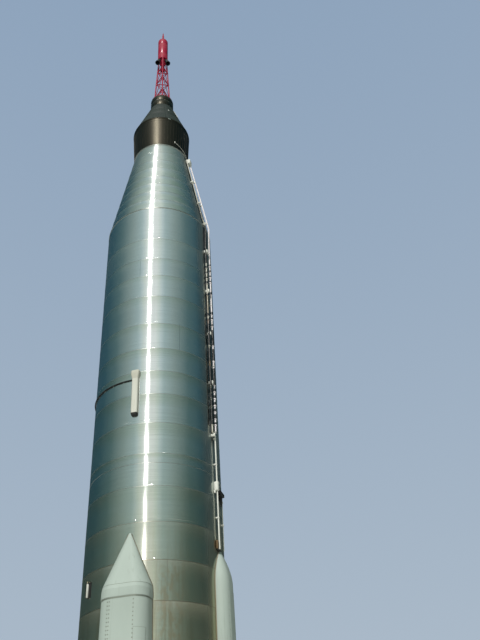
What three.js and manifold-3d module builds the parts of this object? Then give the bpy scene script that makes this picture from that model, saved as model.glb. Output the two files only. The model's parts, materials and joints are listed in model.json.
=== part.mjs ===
// Crewed one-and-a-half-stage rocket, upright, with its capsule and escape tower.
// Millimetres, +Z up. The origin is on the vehicle's axis, in the plane of the hold-down pads'
// undersides. The two booster nacelles lie on -Y and +Y, the equipment pods on +X and -X.
// Azimuths are in degrees from -Y towards +X.
import * as THREE from 'three';
import { mergeVertices } from 'three/addons/utils/BufferGeometryUtils.js';
import Module from 'manifold-3d';

const wasm = await Module();
wasm.setup();

// Heights along the tank are given as stations: inches aft of a point ahead of the nose.
const INCH = 25.4;
const PAD_STATION = 1272;
const FORWARD_RING_STATION = 502;
const CONE_BASE_STATION = 645;
const BULKHEAD_STATION = 960;
const BOOSTER_JOINT_STATION = 1133;

const TANK_RADIUS = 1524;
const FORWARD_RADIUS = 889;
const TANK_SIDES = 64;
const ROUND_SIDES = 32;
const GAP = 0.3;

const heightOf = (station) => (PAD_STATION - station) * INCH;
const FORWARD_RING_Z = heightOf(FORWARD_RING_STATION);
const CONE_BASE_Z = heightOf(CONE_BASE_STATION);
const BULKHEAD_Z = heightOf(BULKHEAD_STATION);
const BOOSTER_JOINT_Z = heightOf(BOOSTER_JOINT_STATION);

// Adapter, capsule and recovery section, heights above the forward ring
const ADAPTER_TOP = 1330;
const CAPSULE_BASE = 1400;
const CAPSULE_NECK = 2950;
const RECOVERY_TOP = 3500;
const CAPSULE_RADIUS = 946;
const NECK_RADIUS = 410;
const RECOVERY_RADIUS = 400;

// Escape tower and motor, heights above the forward ring
const TOWER_AZIMUTH = 20;
const TOWER_FOOT = { height: 3545, radius: 340 };
const TOWER_HEAD = { height: 6290, radius: 178 };
const TOWER_RINGS = [4030, 4910, 5640];
const LEG_RADIUS = 24;
const RING_BAR_RADIUS = 18;
const BRACE_RADIUS = 12;
const MOTOR_RADIUS = 190;
const MOTOR_BASE = 6330;
const MOTOR_TOP = 7600;
const MOTOR_CAP_TOP = 7690;
const SPIKE_TOP = 8320;
const SPIKE_RADIUS = 42;
const NOZZLE_CANT = 19;
const NOZZLE_LENGTH = 310;
const NOZZLE_EXIT_RADIUS = 92;
const NOZZLE_NECK_RADIUS = 55;
const NOZZLE_ROOT = 40;
const NOZZLE_OFFSET = 132;
const NOZZLE_HEIGHT = 6270;

// Booster section
const SHIELD_BOTTOM = 60;
const SHIELD_TOP = 100;
const BOOSTER_OFFSET = 1720;
const GIMBAL_Z = heightOf(1214);
const BOOSTER_WELL_RADIUS = 580;
const SUSTAINER_WELL_RADIUS = 540;
const WELL_TOP_RADIUS = 420;
const WELL_TOP_Z = GIMBAL_Z + 170;
const PAD_SIZE = 120;
const PAD_X = 520;
const PAD_Y = 2280;

const finish = (color, roughness, metalness) => ({ color, roughness, metalness });
const STEEL = finish(0x8fa39f, 0.3, 0.9);
const BLACK = finish(0x14160f, 0.45, 0.2);
const RED = finish(0xb01a20, 0.4, 0.1);
const NOZZLE_BLACK = finish(0x0b0b0d, 0.6, 0.2);
const PALE = finish(0xb9c2b6, 0.5, 0.1);
const WHITE = finish(0xd8d8d0, 0.5, 0.1);
const BEIGE = finish(0xc7b79a, 0.5, 0.1);
const ENGINE_METAL = finish(0x6b6660, 0.4, 0.8);
const SHIELD_GREY = finish(0x7f7c75, 0.7, 0.1);
const GLASS = finish(0x10161c, 0.1, 0.0);

const rocket = new THREE.Group();

function add(name, geometry, look) {
  const mesh = new THREE.Mesh(geometry, new THREE.MeshStandardMaterial(look));
  mesh.name = name;
  rocket.add(mesh);
  return mesh;
}

// Solids of revolution: rows of [radius, height] going up, closed to the axis at both ends
function turned(rows, sides = ROUND_SIDES) {
  const ends = [[0, rows[0][1]], ...rows, [0, rows.at(-1)[1]]];
  return turnedOutline(ends, sides);
}

// An outline of [radius, height] that starts and ends on the axis or closes on itself
function turnedOutline(outline, sides = ROUND_SIDES) {
  const points = outline.map(([radius, height]) => new THREE.Vector2(radius, height));
  return new THREE.LatheGeometry(points, sides).rotateX(Math.PI / 2);
}

function box(x0, x1, y0, y1, z0, z1) {
  const geometry = new THREE.BoxGeometry(x1 - x0, y1 - y0, z1 - z0);
  return geometry.translate((x0 + x1) / 2, (y0 + y1) / 2, (z0 + z1) / 2);
}

// A round bar between two points
function bar(from, to, radius, sides = 8) {
  const along = to.clone().sub(from);
  const geometry = new THREE.CylinderGeometry(radius, radius, along.length(), sides);
  const up = new THREE.Vector3(0, 1, 0);
  geometry.applyQuaternion(new THREE.Quaternion().setFromUnitVectors(up, along.clone().normalize()));
  const middle = from.clone().add(to).multiplyScalar(0.5);
  return geometry.translate(middle.x, middle.y, middle.z);
}

// A tube along a smooth curve through the given points
function tube(points, radius, steps, sides = 8) {
  const section = new THREE.Shape();
  for (let i = 0; i < sides; i++) {
    const angle = (2 * Math.PI * i) / sides;
    const method = i === 0 ? 'moveTo' : 'lineTo';
    section[method](radius * Math.cos(angle), radius * Math.sin(angle));
  }
  const extrudePath = new THREE.CatmullRomCurve3(points, false, 'centripetal');
  return new THREE.ExtrudeGeometry(section, { steps, extrudePath, curveSegments: 1 });
}

// Sections of equal point count, lowest first, joined into one closed solid
function lofted(sections) {
  const count = sections[0].length;
  const positions = sections.flat().flatMap((point) => point.toArray());
  const indices = [];
  for (let s = 0; s + 1 < sections.length; s++) {
    for (let i = 0; i < count; i++) {
      const a = s * count + i;
      const b = s * count + ((i + 1) % count);
      indices.push(a, b, b + count, a, b + count, a + count);
    }
  }
  const top = (sections.length - 1) * count;
  for (let i = 1; i + 1 < count; i++) {
    indices.push(0, i + 1, i);
    indices.push(top, top + i, top + i + 1);
  }
  const geometry = new THREE.BufferGeometry();
  geometry.setAttribute('position', new THREE.Float32BufferAttribute(positions, 3));
  geometry.setIndex(indices);
  return geometry;
}

// Joins and cuts
function toSolid(geometry) {
  const bare = geometry.clone();
  bare.deleteAttribute('normal');
  bare.deleteAttribute('uv');
  const merged = mergeVertices(bare, 1e-3);
  const triangles = [];
  for (let i = 0; i < merged.index.count; i += 3) {
    const [a, b, c] = [0, 1, 2].map((k) => merged.index.getX(i + k));
    if (a !== b && b !== c && c !== a) {
      triangles.push(a, b, c);
    }
  }
  return new wasm.Manifold(new wasm.Mesh({
    numProp: 3,
    vertProperties: new Float32Array(merged.attributes.position.array),
    triVerts: new Uint32Array(triangles),
  }));
}

function toGeometry(solid) {
  const mesh = solid.getMesh();
  const geometry = new THREE.BufferGeometry();
  geometry.setAttribute('position', new THREE.Float32BufferAttribute(mesh.vertProperties, 3));
  geometry.setIndex(new THREE.BufferAttribute(new Uint32Array(mesh.triVerts), 1));
  geometry.computeVertexNormals();
  return geometry;
}

const joined = (...parts) => toGeometry(parts.map(toSolid).reduce((a, b) => a.add(b)));
const cut = (body, ...tools) => (
  toGeometry(tools.map(toSolid).reduce((rest, tool) => rest.subtract(tool), toSolid(body)))
);

// Places on the tank's skin
function skinRadius(station) {
  const span = CONE_BASE_STATION - FORWARD_RING_STATION;
  const share = THREE.MathUtils.clamp((station - FORWARD_RING_STATION) / span, 0, 1);
  return FORWARD_RADIUS + share * (TANK_RADIUS - FORWARD_RADIUS);
}

function polar(azimuth, radius, z) {
  const angle = THREE.MathUtils.degToRad(azimuth);
  return new THREE.Vector3(radius * Math.sin(angle), -radius * Math.cos(angle), z);
}

const onSkin = (azimuth, station, standOff) => (
  polar(azimuth, skinRadius(station) + standOff, heightOf(station))
);

// Turns a shape built facing -Y to its azimuth
const turnTo = (geometry, azimuth) => geometry.rotateZ(THREE.MathUtils.degToRad(azimuth));

// Tank: a forward cone and two barrels, welded end to end
const welds = [
  { name: 'tank_forward_cone', low: CONE_BASE_Z, high: FORWARD_RING_Z, top: FORWARD_RADIUS },
  { name: 'tank_oxidizer_barrel', low: BULKHEAD_Z, high: CONE_BASE_Z, top: TANK_RADIUS },
  { name: 'tank_fuel_barrel', low: BOOSTER_JOINT_Z, high: BULKHEAD_Z, top: TANK_RADIUS },
];
for (const { name, low, high, top } of welds) {
  add(name, turned([[TANK_RADIUS, low + GAP], [top, high]], TANK_SIDES), STEEL);
}

// Forward ring and adapter
const RING_HEIGHT = 45;
const RING_PROUD = 14;
const above = (height) => FORWARD_RING_Z + height;
add('forward_ring', turned([
  [FORWARD_RADIUS + RING_PROUD, above(GAP)],
  [FORWARD_RADIUS + RING_PROUD, above(RING_HEIGHT)],
], TANK_SIDES), STEEL);
add('adapter', turned([
  [FORWARD_RADIUS, above(RING_HEIGHT + GAP)],
  [CAPSULE_RADIUS, above(ADAPTER_TOP)],
], TANK_SIDES), BLACK);

// Clamp ring that holds the capsule on the adapter
const CLAMP_PROUD = 16;
add('clamp_ring', turned([
  [CAPSULE_RADIUS + CLAMP_PROUD / 2, above(ADAPTER_TOP + GAP)],
  [CAPSULE_RADIUS + CLAMP_PROUD, above(ADAPTER_TOP + 15)],
  [CAPSULE_RADIUS + CLAMP_PROUD, above(CAPSULE_BASE - 15)],
  [CAPSULE_RADIUS + CLAMP_PROUD / 2, above(CAPSULE_BASE)],
], TANK_SIDES), BLACK);

// Capsule: a cone with its side hatch and window let into it
const capsuleSlope = (CAPSULE_RADIUS - NECK_RADIUS) / (CAPSULE_NECK - CAPSULE_BASE);
const capsuleTilt = Math.atan(capsuleSlope);
const capsuleRadiusAt = (height) => CAPSULE_RADIUS - (height - CAPSULE_BASE) * capsuleSlope;
const capsule = turned([
  [CAPSULE_RADIUS - 25, above(CAPSULE_BASE + GAP)],
  [CAPSULE_RADIUS, above(CAPSULE_BASE + 25)],
  [NECK_RADIUS, above(CAPSULE_NECK)],
], TANK_SIDES);

// A flat plate lying on the cone, its outer face proud of the skin by the given amount
function plateOnCapsule({ azimuth, height, width, tall, deep, proud }) {
  const plate = new THREE.BoxGeometry(width, deep, tall);
  plate.translate(0, deep / 2 - proud, 0);
  plate.rotateX(-capsuleTilt);
  plate.translate(0, -capsuleRadiusAt(height), above(height));
  return turnTo(plate, azimuth);
}

const HATCH = { azimuth: 150, height: 2120, width: 560, tall: 640, deep: 90, proud: 14 };
const WINDOW = { azimuth: 215, height: 2500, width: 230, tall: 300, deep: 60, proud: 6 };
const recess = (plate) => plateOnCapsule({
  ...plate,
  width: plate.width + 2 * GAP,
  tall: plate.tall + 2 * GAP,
  deep: plate.deep + GAP,
});
add('capsule_cone', cut(capsule, recess(HATCH), recess(WINDOW)), BLACK);
add('capsule_hatch', plateOnCapsule(HATCH), BLACK);
add('capsule_window', plateOnCapsule(WINDOW), GLASS);
add('recovery_section', turned([
  [RECOVERY_RADIUS, above(CAPSULE_NECK + GAP)],
  [RECOVERY_RADIUS, above(RECOVERY_TOP)],
]), BLACK);

// Escape tower: a base ring, a three-legged lattice and a canted nozzle between each pair of legs
const BASE_RING_RADIUS = RECOVERY_RADIUS - 15;
add('tower_base_ring', turned([
  [BASE_RING_RADIUS, above(RECOVERY_TOP + GAP)],
  [BASE_RING_RADIUS, above(TOWER_FOOT.height - GAP)],
]), RED);

const towerLevels = [TOWER_FOOT.height, ...TOWER_RINGS, TOWER_HEAD.height];
function towerNode(level, leg) {
  const height = towerLevels[level];
  const share = (height - TOWER_FOOT.height) / (TOWER_HEAD.height - TOWER_FOOT.height);
  const radius = THREE.MathUtils.lerp(TOWER_FOOT.radius, TOWER_HEAD.radius, share);
  return polar(TOWER_AZIMUTH + 120 * leg, radius, above(height));
}

const FOOT_HEIGHT = 30;
const FOOT_RADIUS = 38.4;

function latticeBars() {
  const bars = [];
  const top = towerLevels.length - 1;
  for (let leg = 0; leg < 3; leg++) {
    const next = leg + 1;
    const foot = towerNode(0, leg);
    bars.push(bar(foot, towerNode(top, leg), LEG_RADIUS, 6));
    bars.push(bar(foot, foot.clone().setZ(foot.z + FOOT_HEIGHT), FOOT_RADIUS, 8));
    for (let level = 0; level < top; level++) {
      bars.push(bar(towerNode(level, leg), towerNode(level + 1, next), BRACE_RADIUS, 4));
      bars.push(bar(towerNode(level, next), towerNode(level + 1, leg), BRACE_RADIUS, 4));
    }
    for (let level = 1; level < top; level++) {
      bars.push(bar(towerNode(level, leg), towerNode(level, next), RING_BAR_RADIUS, 6));
    }
  }
  return bars;
}

const squareBox = (half, z0, z1) => box(-half, half, -half, half, z0, z1);
const LEG_TIP = TOWER_HEAD.height - LEG_RADIUS / 2;
const underFeet = squareBox(BASE_RING_RADIUS, above(RECOVERY_TOP), above(TOWER_FOOT.height));
const overLegs = squareBox(BASE_RING_RADIUS, above(LEG_TIP), above(MOTOR_BASE));
add('tower_lattice', cut(joined(...latticeBars()), underFeet, overLegs), RED);

// The motor's aft end: a plate on the legs' tips and a plug between them that carries the nozzles
const PLUG = { bottom: 6060, bottomRadius: 70, topRadius: 128 };
const AFT_PLATE_PROUD = 8;
const motorAft = turned([
  [PLUG.bottomRadius, above(PLUG.bottom)],
  [PLUG.topRadius, above(LEG_TIP + GAP)],
  [MOTOR_RADIUS + AFT_PLATE_PROUD, above(LEG_TIP + GAP)],
  [MOTOR_RADIUS + AFT_PLATE_PROUD, above(MOTOR_BASE)],
]);
function cantedNozzle(extra) {
  const cone = turned([
    [NOZZLE_EXIT_RADIUS + extra, -NOZZLE_LENGTH],
    [NOZZLE_NECK_RADIUS + extra, 0],
    [NOZZLE_NECK_RADIUS + extra, NOZZLE_ROOT + extra],
  ], 16);
  cone.rotateX(-THREE.MathUtils.degToRad(NOZZLE_CANT));
  return cone.translate(0, -NOZZLE_OFFSET, above(NOZZLE_HEIGHT));
}
const nozzleAzimuths = [0, 1, 2].map((i) => TOWER_AZIMUTH + 60 + 120 * i);
const nozzleWells = nozzleAzimuths.map((azimuth) => turnTo(cantedNozzle(GAP), azimuth));
add('escape_motor_base', cut(motorAft, ...nozzleWells), RED);
nozzleAzimuths.forEach((azimuth, i) => {
  add(`escape_nozzle_${i + 1}`, turnTo(cantedNozzle(0), azimuth), NOZZLE_BLACK);
});
add('escape_motor', turned([
  [MOTOR_RADIUS, above(MOTOR_BASE + GAP)],
  [MOTOR_RADIUS, above(MOTOR_TOP)],
]), RED);
const CAP_SHOULDER = { height: 50, inset: 36 };
add('escape_motor_cap', turned([
  [MOTOR_RADIUS - 6, above(MOTOR_TOP + GAP)],
  [MOTOR_RADIUS - CAP_SHOULDER.inset, above(MOTOR_TOP + CAP_SHOULDER.height)],
  [SPIKE_RADIUS + 20, above(MOTOR_CAP_TOP)],
]), RED);
const SPIKE_TAPER = 190;
add('nose_spike', turned([
  [SPIKE_RADIUS, above(MOTOR_CAP_TOP + GAP)],
  [SPIKE_RADIUS, above(SPIKE_TOP - SPIKE_TAPER)],
  [SPIKE_RADIUS / 3, above(SPIKE_TOP)],
], 16), RED);

// Shapes that stand on the tank's side, cut to lie against its facets
const skinCut = (gap) => turned([
  [TANK_RADIUS + gap, 0],
  [TANK_RADIUS + gap, CONE_BASE_Z],
  [FORWARD_RADIUS + gap, FORWARD_RING_Z],
], TANK_SIDES);
const EMBED = 40;
const PAD_DEPTH_IN_TANK = 150;
const CORNER_STEPS = 4;

// A rounded rectangle facing -Y: half width, outer distance and corner radius, closed inside the tank
function padSection({ half, out, corner, z }) {
  const inner = TANK_RADIUS - PAD_DEPTH_IN_TANK;
  const points = [new THREE.Vector3(-half, -inner, z)];
  for (const [side, from] of [[-1, 180], [1, 270]]) {
    for (let i = 0; i <= CORNER_STEPS; i++) {
      const angle = THREE.MathUtils.degToRad(from + (90 * i) / CORNER_STEPS);
      points.push(new THREE.Vector3(
        side * (half - corner) + corner * Math.cos(angle),
        -(out - corner) + corner * Math.sin(angle),
        z,
      ));
    }
  }
  points.push(new THREE.Vector3(half, -inner, z));
  return points;
}

// A loft of such sections from a table of them, lowest first
const padLoft = (table) => lofted(table.map(({ station, half, off, corner }) => padSection({
  half,
  out: TANK_RADIUS + off,
  corner,
  z: heightOf(station),
})));

// Booster nacelles: a pyramid top, a collar and a body that swells towards its foot
const nacelleTable = [
  // station, half width, stand-off from the skin, corner radius
  { station: 1268, half: 690, off: 916, corner: 220 },
  { station: 1200, half: 630, off: 740, corner: 250 },
  { station: 1166, half: 565, off: 560, corner: 280 },
  { station: 1133, half: 505, off: 405, corner: 300 },
  { station: 1100, half: 486, off: 375, corner: 300 },
  { station: 1073, half: 482, off: 370, corner: 300 },
  { station: 1072.6, half: 490, off: 378, corner: 304 },
  { station: 1066, half: 486, off: 372, corner: 300 },
  { station: 1063, half: 479, off: 345, corner: 292 },
  { station: 1020, half: 22, off: 0, corner: 16 },
];

// A conical well in the booster section for a gimballed chamber, open through its foot
const WELL_OVERRUN = 50;
const engineWell = (radius) => turned([
  [radius, -WELL_OVERRUN],
  [radius, SHIELD_TOP],
  [WELL_TOP_RADIUS, WELL_TOP_Z],
]);
const boosterWell = engineWell(BOOSTER_WELL_RADIUS).translate(0, -BOOSTER_OFFSET, 0);
const boosterBody = cut(padLoft(nacelleTable), skinCut(GAP), boosterWell);
const boosters = [
  { side: 'front', azimuth: 0 },
  { side: 'rear', azimuth: 180 },
];
for (const { side, azimuth } of boosters) {
  add(`booster_nacelle_${side}`, turnTo(boosterBody.clone(), azimuth), PALE);
}

// Booster skirt between the nacelles, open where the engines stand
const skirt = turned([
  [TANK_RADIUS, heightOf(1268)],
  [TANK_RADIUS, BOOSTER_JOINT_Z],
], TANK_SIDES);
const nacelleSides = boosters.map(({ azimuth }) => turnTo(boosterWell.clone(), azimuth));
add('booster_skirt', cut(skirt, engineWell(SUSTAINER_WELL_RADIUS), ...nacelleSides), STEEL);

// Heat shield across the foot of the skirt and both nacelles
const shieldDisc = turned([[TANK_RADIUS, SHIELD_BOTTOM], [TANK_RADIUS, SHIELD_TOP]], TANK_SIDES);
const nacelleFoot = padSection({ ...nacelleTable[0], out: TANK_RADIUS + nacelleTable[0].off, z: 0 });
const footAt = (z) => nacelleFoot.map((point) => point.clone().setZ(z));
const shieldLobe = lofted([footAt(SHIELD_BOTTOM), footAt(SHIELD_TOP)]);
const lobes = boosters.map(({ azimuth }) => turnTo(shieldLobe.clone(), azimuth));
const shieldHoles = [engineWell(SUSTAINER_WELL_RADIUS), ...nacelleSides];
add('heat_shield', cut(joined(shieldDisc, ...lobes), ...shieldHoles), SHIELD_GREY);

// Hold-down pads under the corners of the nacelles
const padPlaces = [[-PAD_X, -PAD_Y], [PAD_X, -PAD_Y], [PAD_X, PAD_Y], [-PAD_X, PAD_Y]];
padPlaces.forEach(([x, y], i) => {
  const half = PAD_SIZE / 2;
  const pad = box(x - half, x + half, y - half, y + half, 0, SHIELD_BOTTOM - GAP);
  add(`hold_down_pad_${i + 1}`, pad, ENGINE_METAL);
});

// Engine gimbals: a fixed fork, a cross of two pins and a fork on the engine's head
const PIN_RADIUS = 22;
const PIN_PLAY = 1;
const FORK_IN = 72;
const FORK_OUT = 128;
const FORK_HALF = 50;
const PIN_REACH = 130;
const EAR_TIP = 45;
const EAR_ROOT = 106;
const FORK_PLATE_RADIUS = 190;
const PIN_HOLE_REACH = 200;
const CROSS_HALF = 45;
const CROSS_HALF_HEIGHT = 35;

const pinAlongX = (radius, reach) => (
  bar(new THREE.Vector3(-reach, 0, 0), new THREE.Vector3(reach, 0, 0), radius, 16)
);
const quarterTurn = (geometry) => geometry.clone().rotateZ(Math.PI / 2);

function gimbalFork() {
  const plateRows = [EAR_ROOT - 1, WELL_TOP_Z - GIMBAL_Z - GAP];
  const plate = turned(plateRows.map((height) => [FORK_PLATE_RADIUS, height]), 24);
  const ears = [-1, 1].map((side) => box(
    Math.min(side * FORK_IN, side * FORK_OUT),
    Math.max(side * FORK_IN, side * FORK_OUT),
    -FORK_HALF,
    FORK_HALF,
    -EAR_TIP,
    EAR_ROOT,
  ));
  return cut(joined(plate, ...ears), pinAlongX(PIN_RADIUS + PIN_PLAY, PIN_HOLE_REACH));
}

function gimbalCross() {
  const pin = pinAlongX(PIN_RADIUS, PIN_REACH);
  return joined(squareBox(CROSS_HALF, -CROSS_HALF_HEIGHT, CROSS_HALF_HEIGHT), pin, quarterTurn(pin));
}

// Thrust chambers: depths below the gimbal's centre
const HEAD = { radius: 170, top: 110, bottom: 160 };
const DOME = { inset: 30, top: 190, bottom: 240 };
const THROAT_SHARE = 0.35;
const CHAMBER_END_SHARE = 0.72;
const BELL_CURVE = 0.72;
const BELL_STEPS = 5;

function engineProfile({ depth, chamber, throat, exit, wall }) {
  const throatDepth = THROAT_SHARE * depth;
  const rows = [
    [HEAD.radius, -HEAD.top],
    [HEAD.radius, -HEAD.bottom],
    [chamber - DOME.inset, -DOME.top],
    [chamber, -DOME.bottom],
    [chamber, -throatDepth * CHAMBER_END_SHARE],
    [throat, -throatDepth],
  ];
  const inner = [];
  for (let i = 1; i <= BELL_STEPS; i++) {
    const share = i / BELL_STEPS;
    const radius = throat + (exit - throat) * share ** BELL_CURVE;
    const z = -(throatDepth + (depth - throatDepth) * share);
    rows.push([radius, z]);
    inner.unshift([radius - wall * (1 - 0.4 * share), z]);
  }
  const floor = [[0, inner.at(-1)[1]]];
  return [[0, -HEAD.top], ...rows, ...inner, ...floor].reverse();
}

function engine(size) {
  const earBottom = -HEAD.top - 1;
  const ears = box(FORK_IN, FORK_OUT, -FORK_HALF, FORK_HALF, earBottom, EAR_TIP);
  const otherEars = box(-FORK_OUT, -FORK_IN, -FORK_HALF, FORK_HALF, earBottom, EAR_TIP);
  const bell = turnedOutline(engineProfile(size), ROUND_SIDES);
  const body = joined(bell, quarterTurn(ears), quarterTurn(otherEars));
  return cut(body, quarterTurn(pinAlongX(PIN_RADIUS + PIN_PLAY, PIN_HOLE_REACH)));
}

const EXIT_STATION = 1310;
const EXIT_DEPTH = GIMBAL_Z - heightOf(EXIT_STATION);
const boosterEngine = { depth: EXIT_DEPTH, chamber: 265, throat: 195, exit: 560, wall: 30 };
const sustainerEngine = { depth: EXIT_DEPTH, chamber: 200, throat: 130, exit: 520, wall: 26 };
const engines = [
  { name: 'booster_front', y: -BOOSTER_OFFSET, size: boosterEngine },
  { name: 'booster_rear', y: BOOSTER_OFFSET, size: boosterEngine },
  { name: 'sustainer', y: 0, size: sustainerEngine },
];
for (const { name, y, size } of engines) {
  add(`${name}_gimbal_fork`, gimbalFork().translate(0, y, GIMBAL_Z), ENGINE_METAL);
  add(`${name}_gimbal_cross`, gimbalCross().translate(0, y, GIMBAL_Z), ENGINE_METAL);
  add(`${name}_engine`, engine(size).translate(0, y, GIMBAL_Z), ENGINE_METAL);
}

// Turbine exhaust ducts beside the centre engine
const DUCT = { offset: 1080, bore: 105, outer: 120, bottom: -330 };
for (const [i, side] of [-1, 1].entries()) {
  const duct = turnedOutline([
    [DUCT.bore, SHIELD_BOTTOM - GAP],
    [DUCT.bore, DUCT.bottom],
    [DUCT.outer, DUCT.bottom],
    [DUCT.outer, SHIELD_BOTTOM - GAP],
    [DUCT.bore, SHIELD_BOTTOM - GAP],
  ], 24);
  add(`exhaust_duct_${i + 1}`, duct.translate(side * DUCT.offset, 0, 0), ENGINE_METAL);
}

// Equipment pods on the +X and -X sides, bullet-nosed, ending at the booster joint
const podNose = [
  // inches below the tip, share of full stand-off, share of full half width
  { below: 3, off: 0.22, wide: 0.34 },
  { below: 9, off: 0.5, wide: 0.62 },
  { below: 17, off: 0.79, wide: 0.86 },
  { below: 26, off: 0.96, wide: 0.97 },
];
const POD_HALF = 285;
const POD_OFF = 230;
const POD_CORNER_SHARE = 0.72;
const POD_FOOT = 1131;
const POD_AZIMUTH = 84;

function pod({ azimuth, tip }) {
  const rows = podNose.filter(({ below }) => tip + below < POD_FOOT - 2);
  const full = { below: POD_FOOT - tip, off: 1, wide: 1 };
  const table = [full, ...rows.reverse(), { below: -3, off: -0.02, wide: 0.04 }];
  const shell = padLoft(table.map(({ below, off, wide }) => ({
    station: tip + below,
    half: POD_HALF * wide,
    off: POD_OFF * off,
    corner: POD_HALF * wide * POD_CORNER_SHARE,
  })));
  return cut(turnTo(shell, azimuth), skinCut(GAP));
}

const pods = [
  { name: 'equipment_pod_right', azimuth: POD_AZIMUTH, tip: 1026 },
  { name: 'equipment_pod_left', azimuth: POD_AZIMUTH - 180, tip: 1093 },
];
for (const { name, ...place } of pods) {
  add(name, pod(place), PALE);
}

// Vernier engines under the pods: a bracket on the skirt and a swinging chamber
const VERNIER_Z = heightOf(1155);
const vernierSides = [
  { side: 'right', azimuth: 90 },
  { side: 'left', azimuth: -90 },
];
const alongOut = (from, to, radius) => (
  bar(new THREE.Vector3(0, -from, 0), new THREE.Vector3(0, -to, 0), radius, 16)
);
const BRACKET = { half: 95, outer: 1640, halfHeight: 110 };
const VERNIER_OUT = 1755;
const VERNIER_HEAD_RADIUS = 85;
const VERNIER_PIN = { from: 1570, radius: 30 };
const bracketBlock = box(
  -BRACKET.half,
  BRACKET.half,
  -BRACKET.outer,
  EMBED - TANK_RADIUS,
  VERNIER_Z - BRACKET.halfHeight,
  VERNIER_Z + BRACKET.halfHeight,
);
const pinHole = alongOut(VERNIER_PIN.from - 10, BRACKET.outer + EMBED, VERNIER_PIN.radius + PIN_PLAY)
  .translate(0, 0, VERNIER_Z);
const vernierBracket = cut(bracketBlock, skinCut(GAP), pinHole);
const vernierChamber = turnedOutline([
  [0, -60],
  [55, -60],
  [60, -140],
  [34, -200],
  [95, -430],
  [85, -430],
  [24, -205],
  [0, -205],
].reverse(), 16).translate(0, -VERNIER_OUT, 0);
const vernierHead = new THREE.SphereGeometry(VERNIER_HEAD_RADIUS, 12, 8)
  .rotateX(Math.PI / 2)
  .translate(0, -VERNIER_OUT, 0);
const vernierPin = alongOut(VERNIER_PIN.from, VERNIER_OUT + 5, VERNIER_PIN.radius);
const vernier = joined(vernierHead, vernierChamber, vernierPin).translate(0, 0, VERNIER_Z);
for (const { side, azimuth } of vernierSides) {
  add(`vernier_bracket_${side}`, turnTo(vernierBracket.clone(), azimuth), PALE);
  add(`vernier_engine_${side}`, turnTo(vernier.clone(), azimuth), ENGINE_METAL);
}

// Long vertical fairing on the front of the tank, with a flared head and a dark foot
const fairingTable = [
  // station, half width, stand-off from the skin, corner radius
  { station: 913, half: 56, off: 45, corner: 34 },
  { station: 910, half: 78, off: 75, corner: 38 },
  { station: 874, half: 78, off: 75, corner: 38 },
  { station: 869, half: 104, off: 95, corner: 44 },
  { station: 865, half: 96, off: 80, corner: 44 },
];
add('front_fairing', cut(padLoft(fairingTable), skinCut(GAP)), BEIGE);

// Line that runs round the tank from the fairing's left side
const HOOP = {
  station: 874,
  rise: 1.8,
  riseEnd: -75,
  standOff: 16,
  radius: 11,
  first: -5.6,
  last: -150,
  pitch: 6,
};
const hoopPoints = [];
for (let azimuth = HOOP.first; azimuth > HOOP.last; azimuth -= HOOP.pitch) {
  const share = Math.min(1, (azimuth - HOOP.first) / (HOOP.riseEnd - HOOP.first));
  hoopPoints.push(onSkin(azimuth, HOOP.station - HOOP.rise * share, HOOP.standOff));
}
add('hoop_line', tube(hoopPoints, HOOP.radius, 36, 5), NOZZLE_BLACK);

// A block on the skin, facing -Y: half width, reach from the axis, and its aft and forward stations
function skinBlock({ half, reach, aft, forward }) {
  const root = EMBED - skinRadius(forward);
  return box(-half, half, -reach, root, heightOf(aft), heightOf(forward));
}

// Small fitting on the skin ahead of the front nacelle's left side
const FITTING_AZIMUTH = -41;
const fitting = skinBlock({ half: 20, reach: TANK_RADIUS + 50, aft: 1062, forward: 1051 });
add('side_fitting', cut(turnTo(fitting, FITTING_AZIMUTH), skinCut(GAP)), WHITE);

// Conduits down the right side: a box at the forward ring, twin pipes down to the fuel barrel,
// one pipe from there to the pod's nose, and a thin line beside it
const BOX_AZIMUTH = 88;
const boxBody = skinBlock({ half: 90, reach: skinRadius(509) + 125, aft: 514, forward: 506.5 });
add('umbilical_box', cut(turnTo(boxBody, BOX_AZIMUTH), skinCut(GAP)), WHITE);

// A pipe along a route of [station, azimuth] rows, with clamps of [station, half width, height, proud]
function conduit({ route, off, radius, clamps, steps }) {
  const azimuthAt = (station) => {
    const next = Math.max(1, route.findIndex(([s]) => s >= station));
    const [[s0, a0], [s1, a1]] = [route[next - 1], route[next]];
    return a0 + ((a1 - a0) * (station - s0)) / (s1 - s0);
  };
  const line = route.map(([station, azimuth]) => onSkin(azimuth, station, off));
  const parts = [tube(line, radius, steps)];
  for (const [station, half, tall, proud] of clamps) {
    const reach = skinRadius(station) + off + radius + proud;
    const block = box(-half, half, -reach, EMBED - skinRadius(station), 0, tall);
    parts.push(turnTo(block.translate(0, 0, heightOf(station)), azimuthAt(station)));
  }
  return cut(joined(...parts), skinCut(GAP));
}

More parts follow.
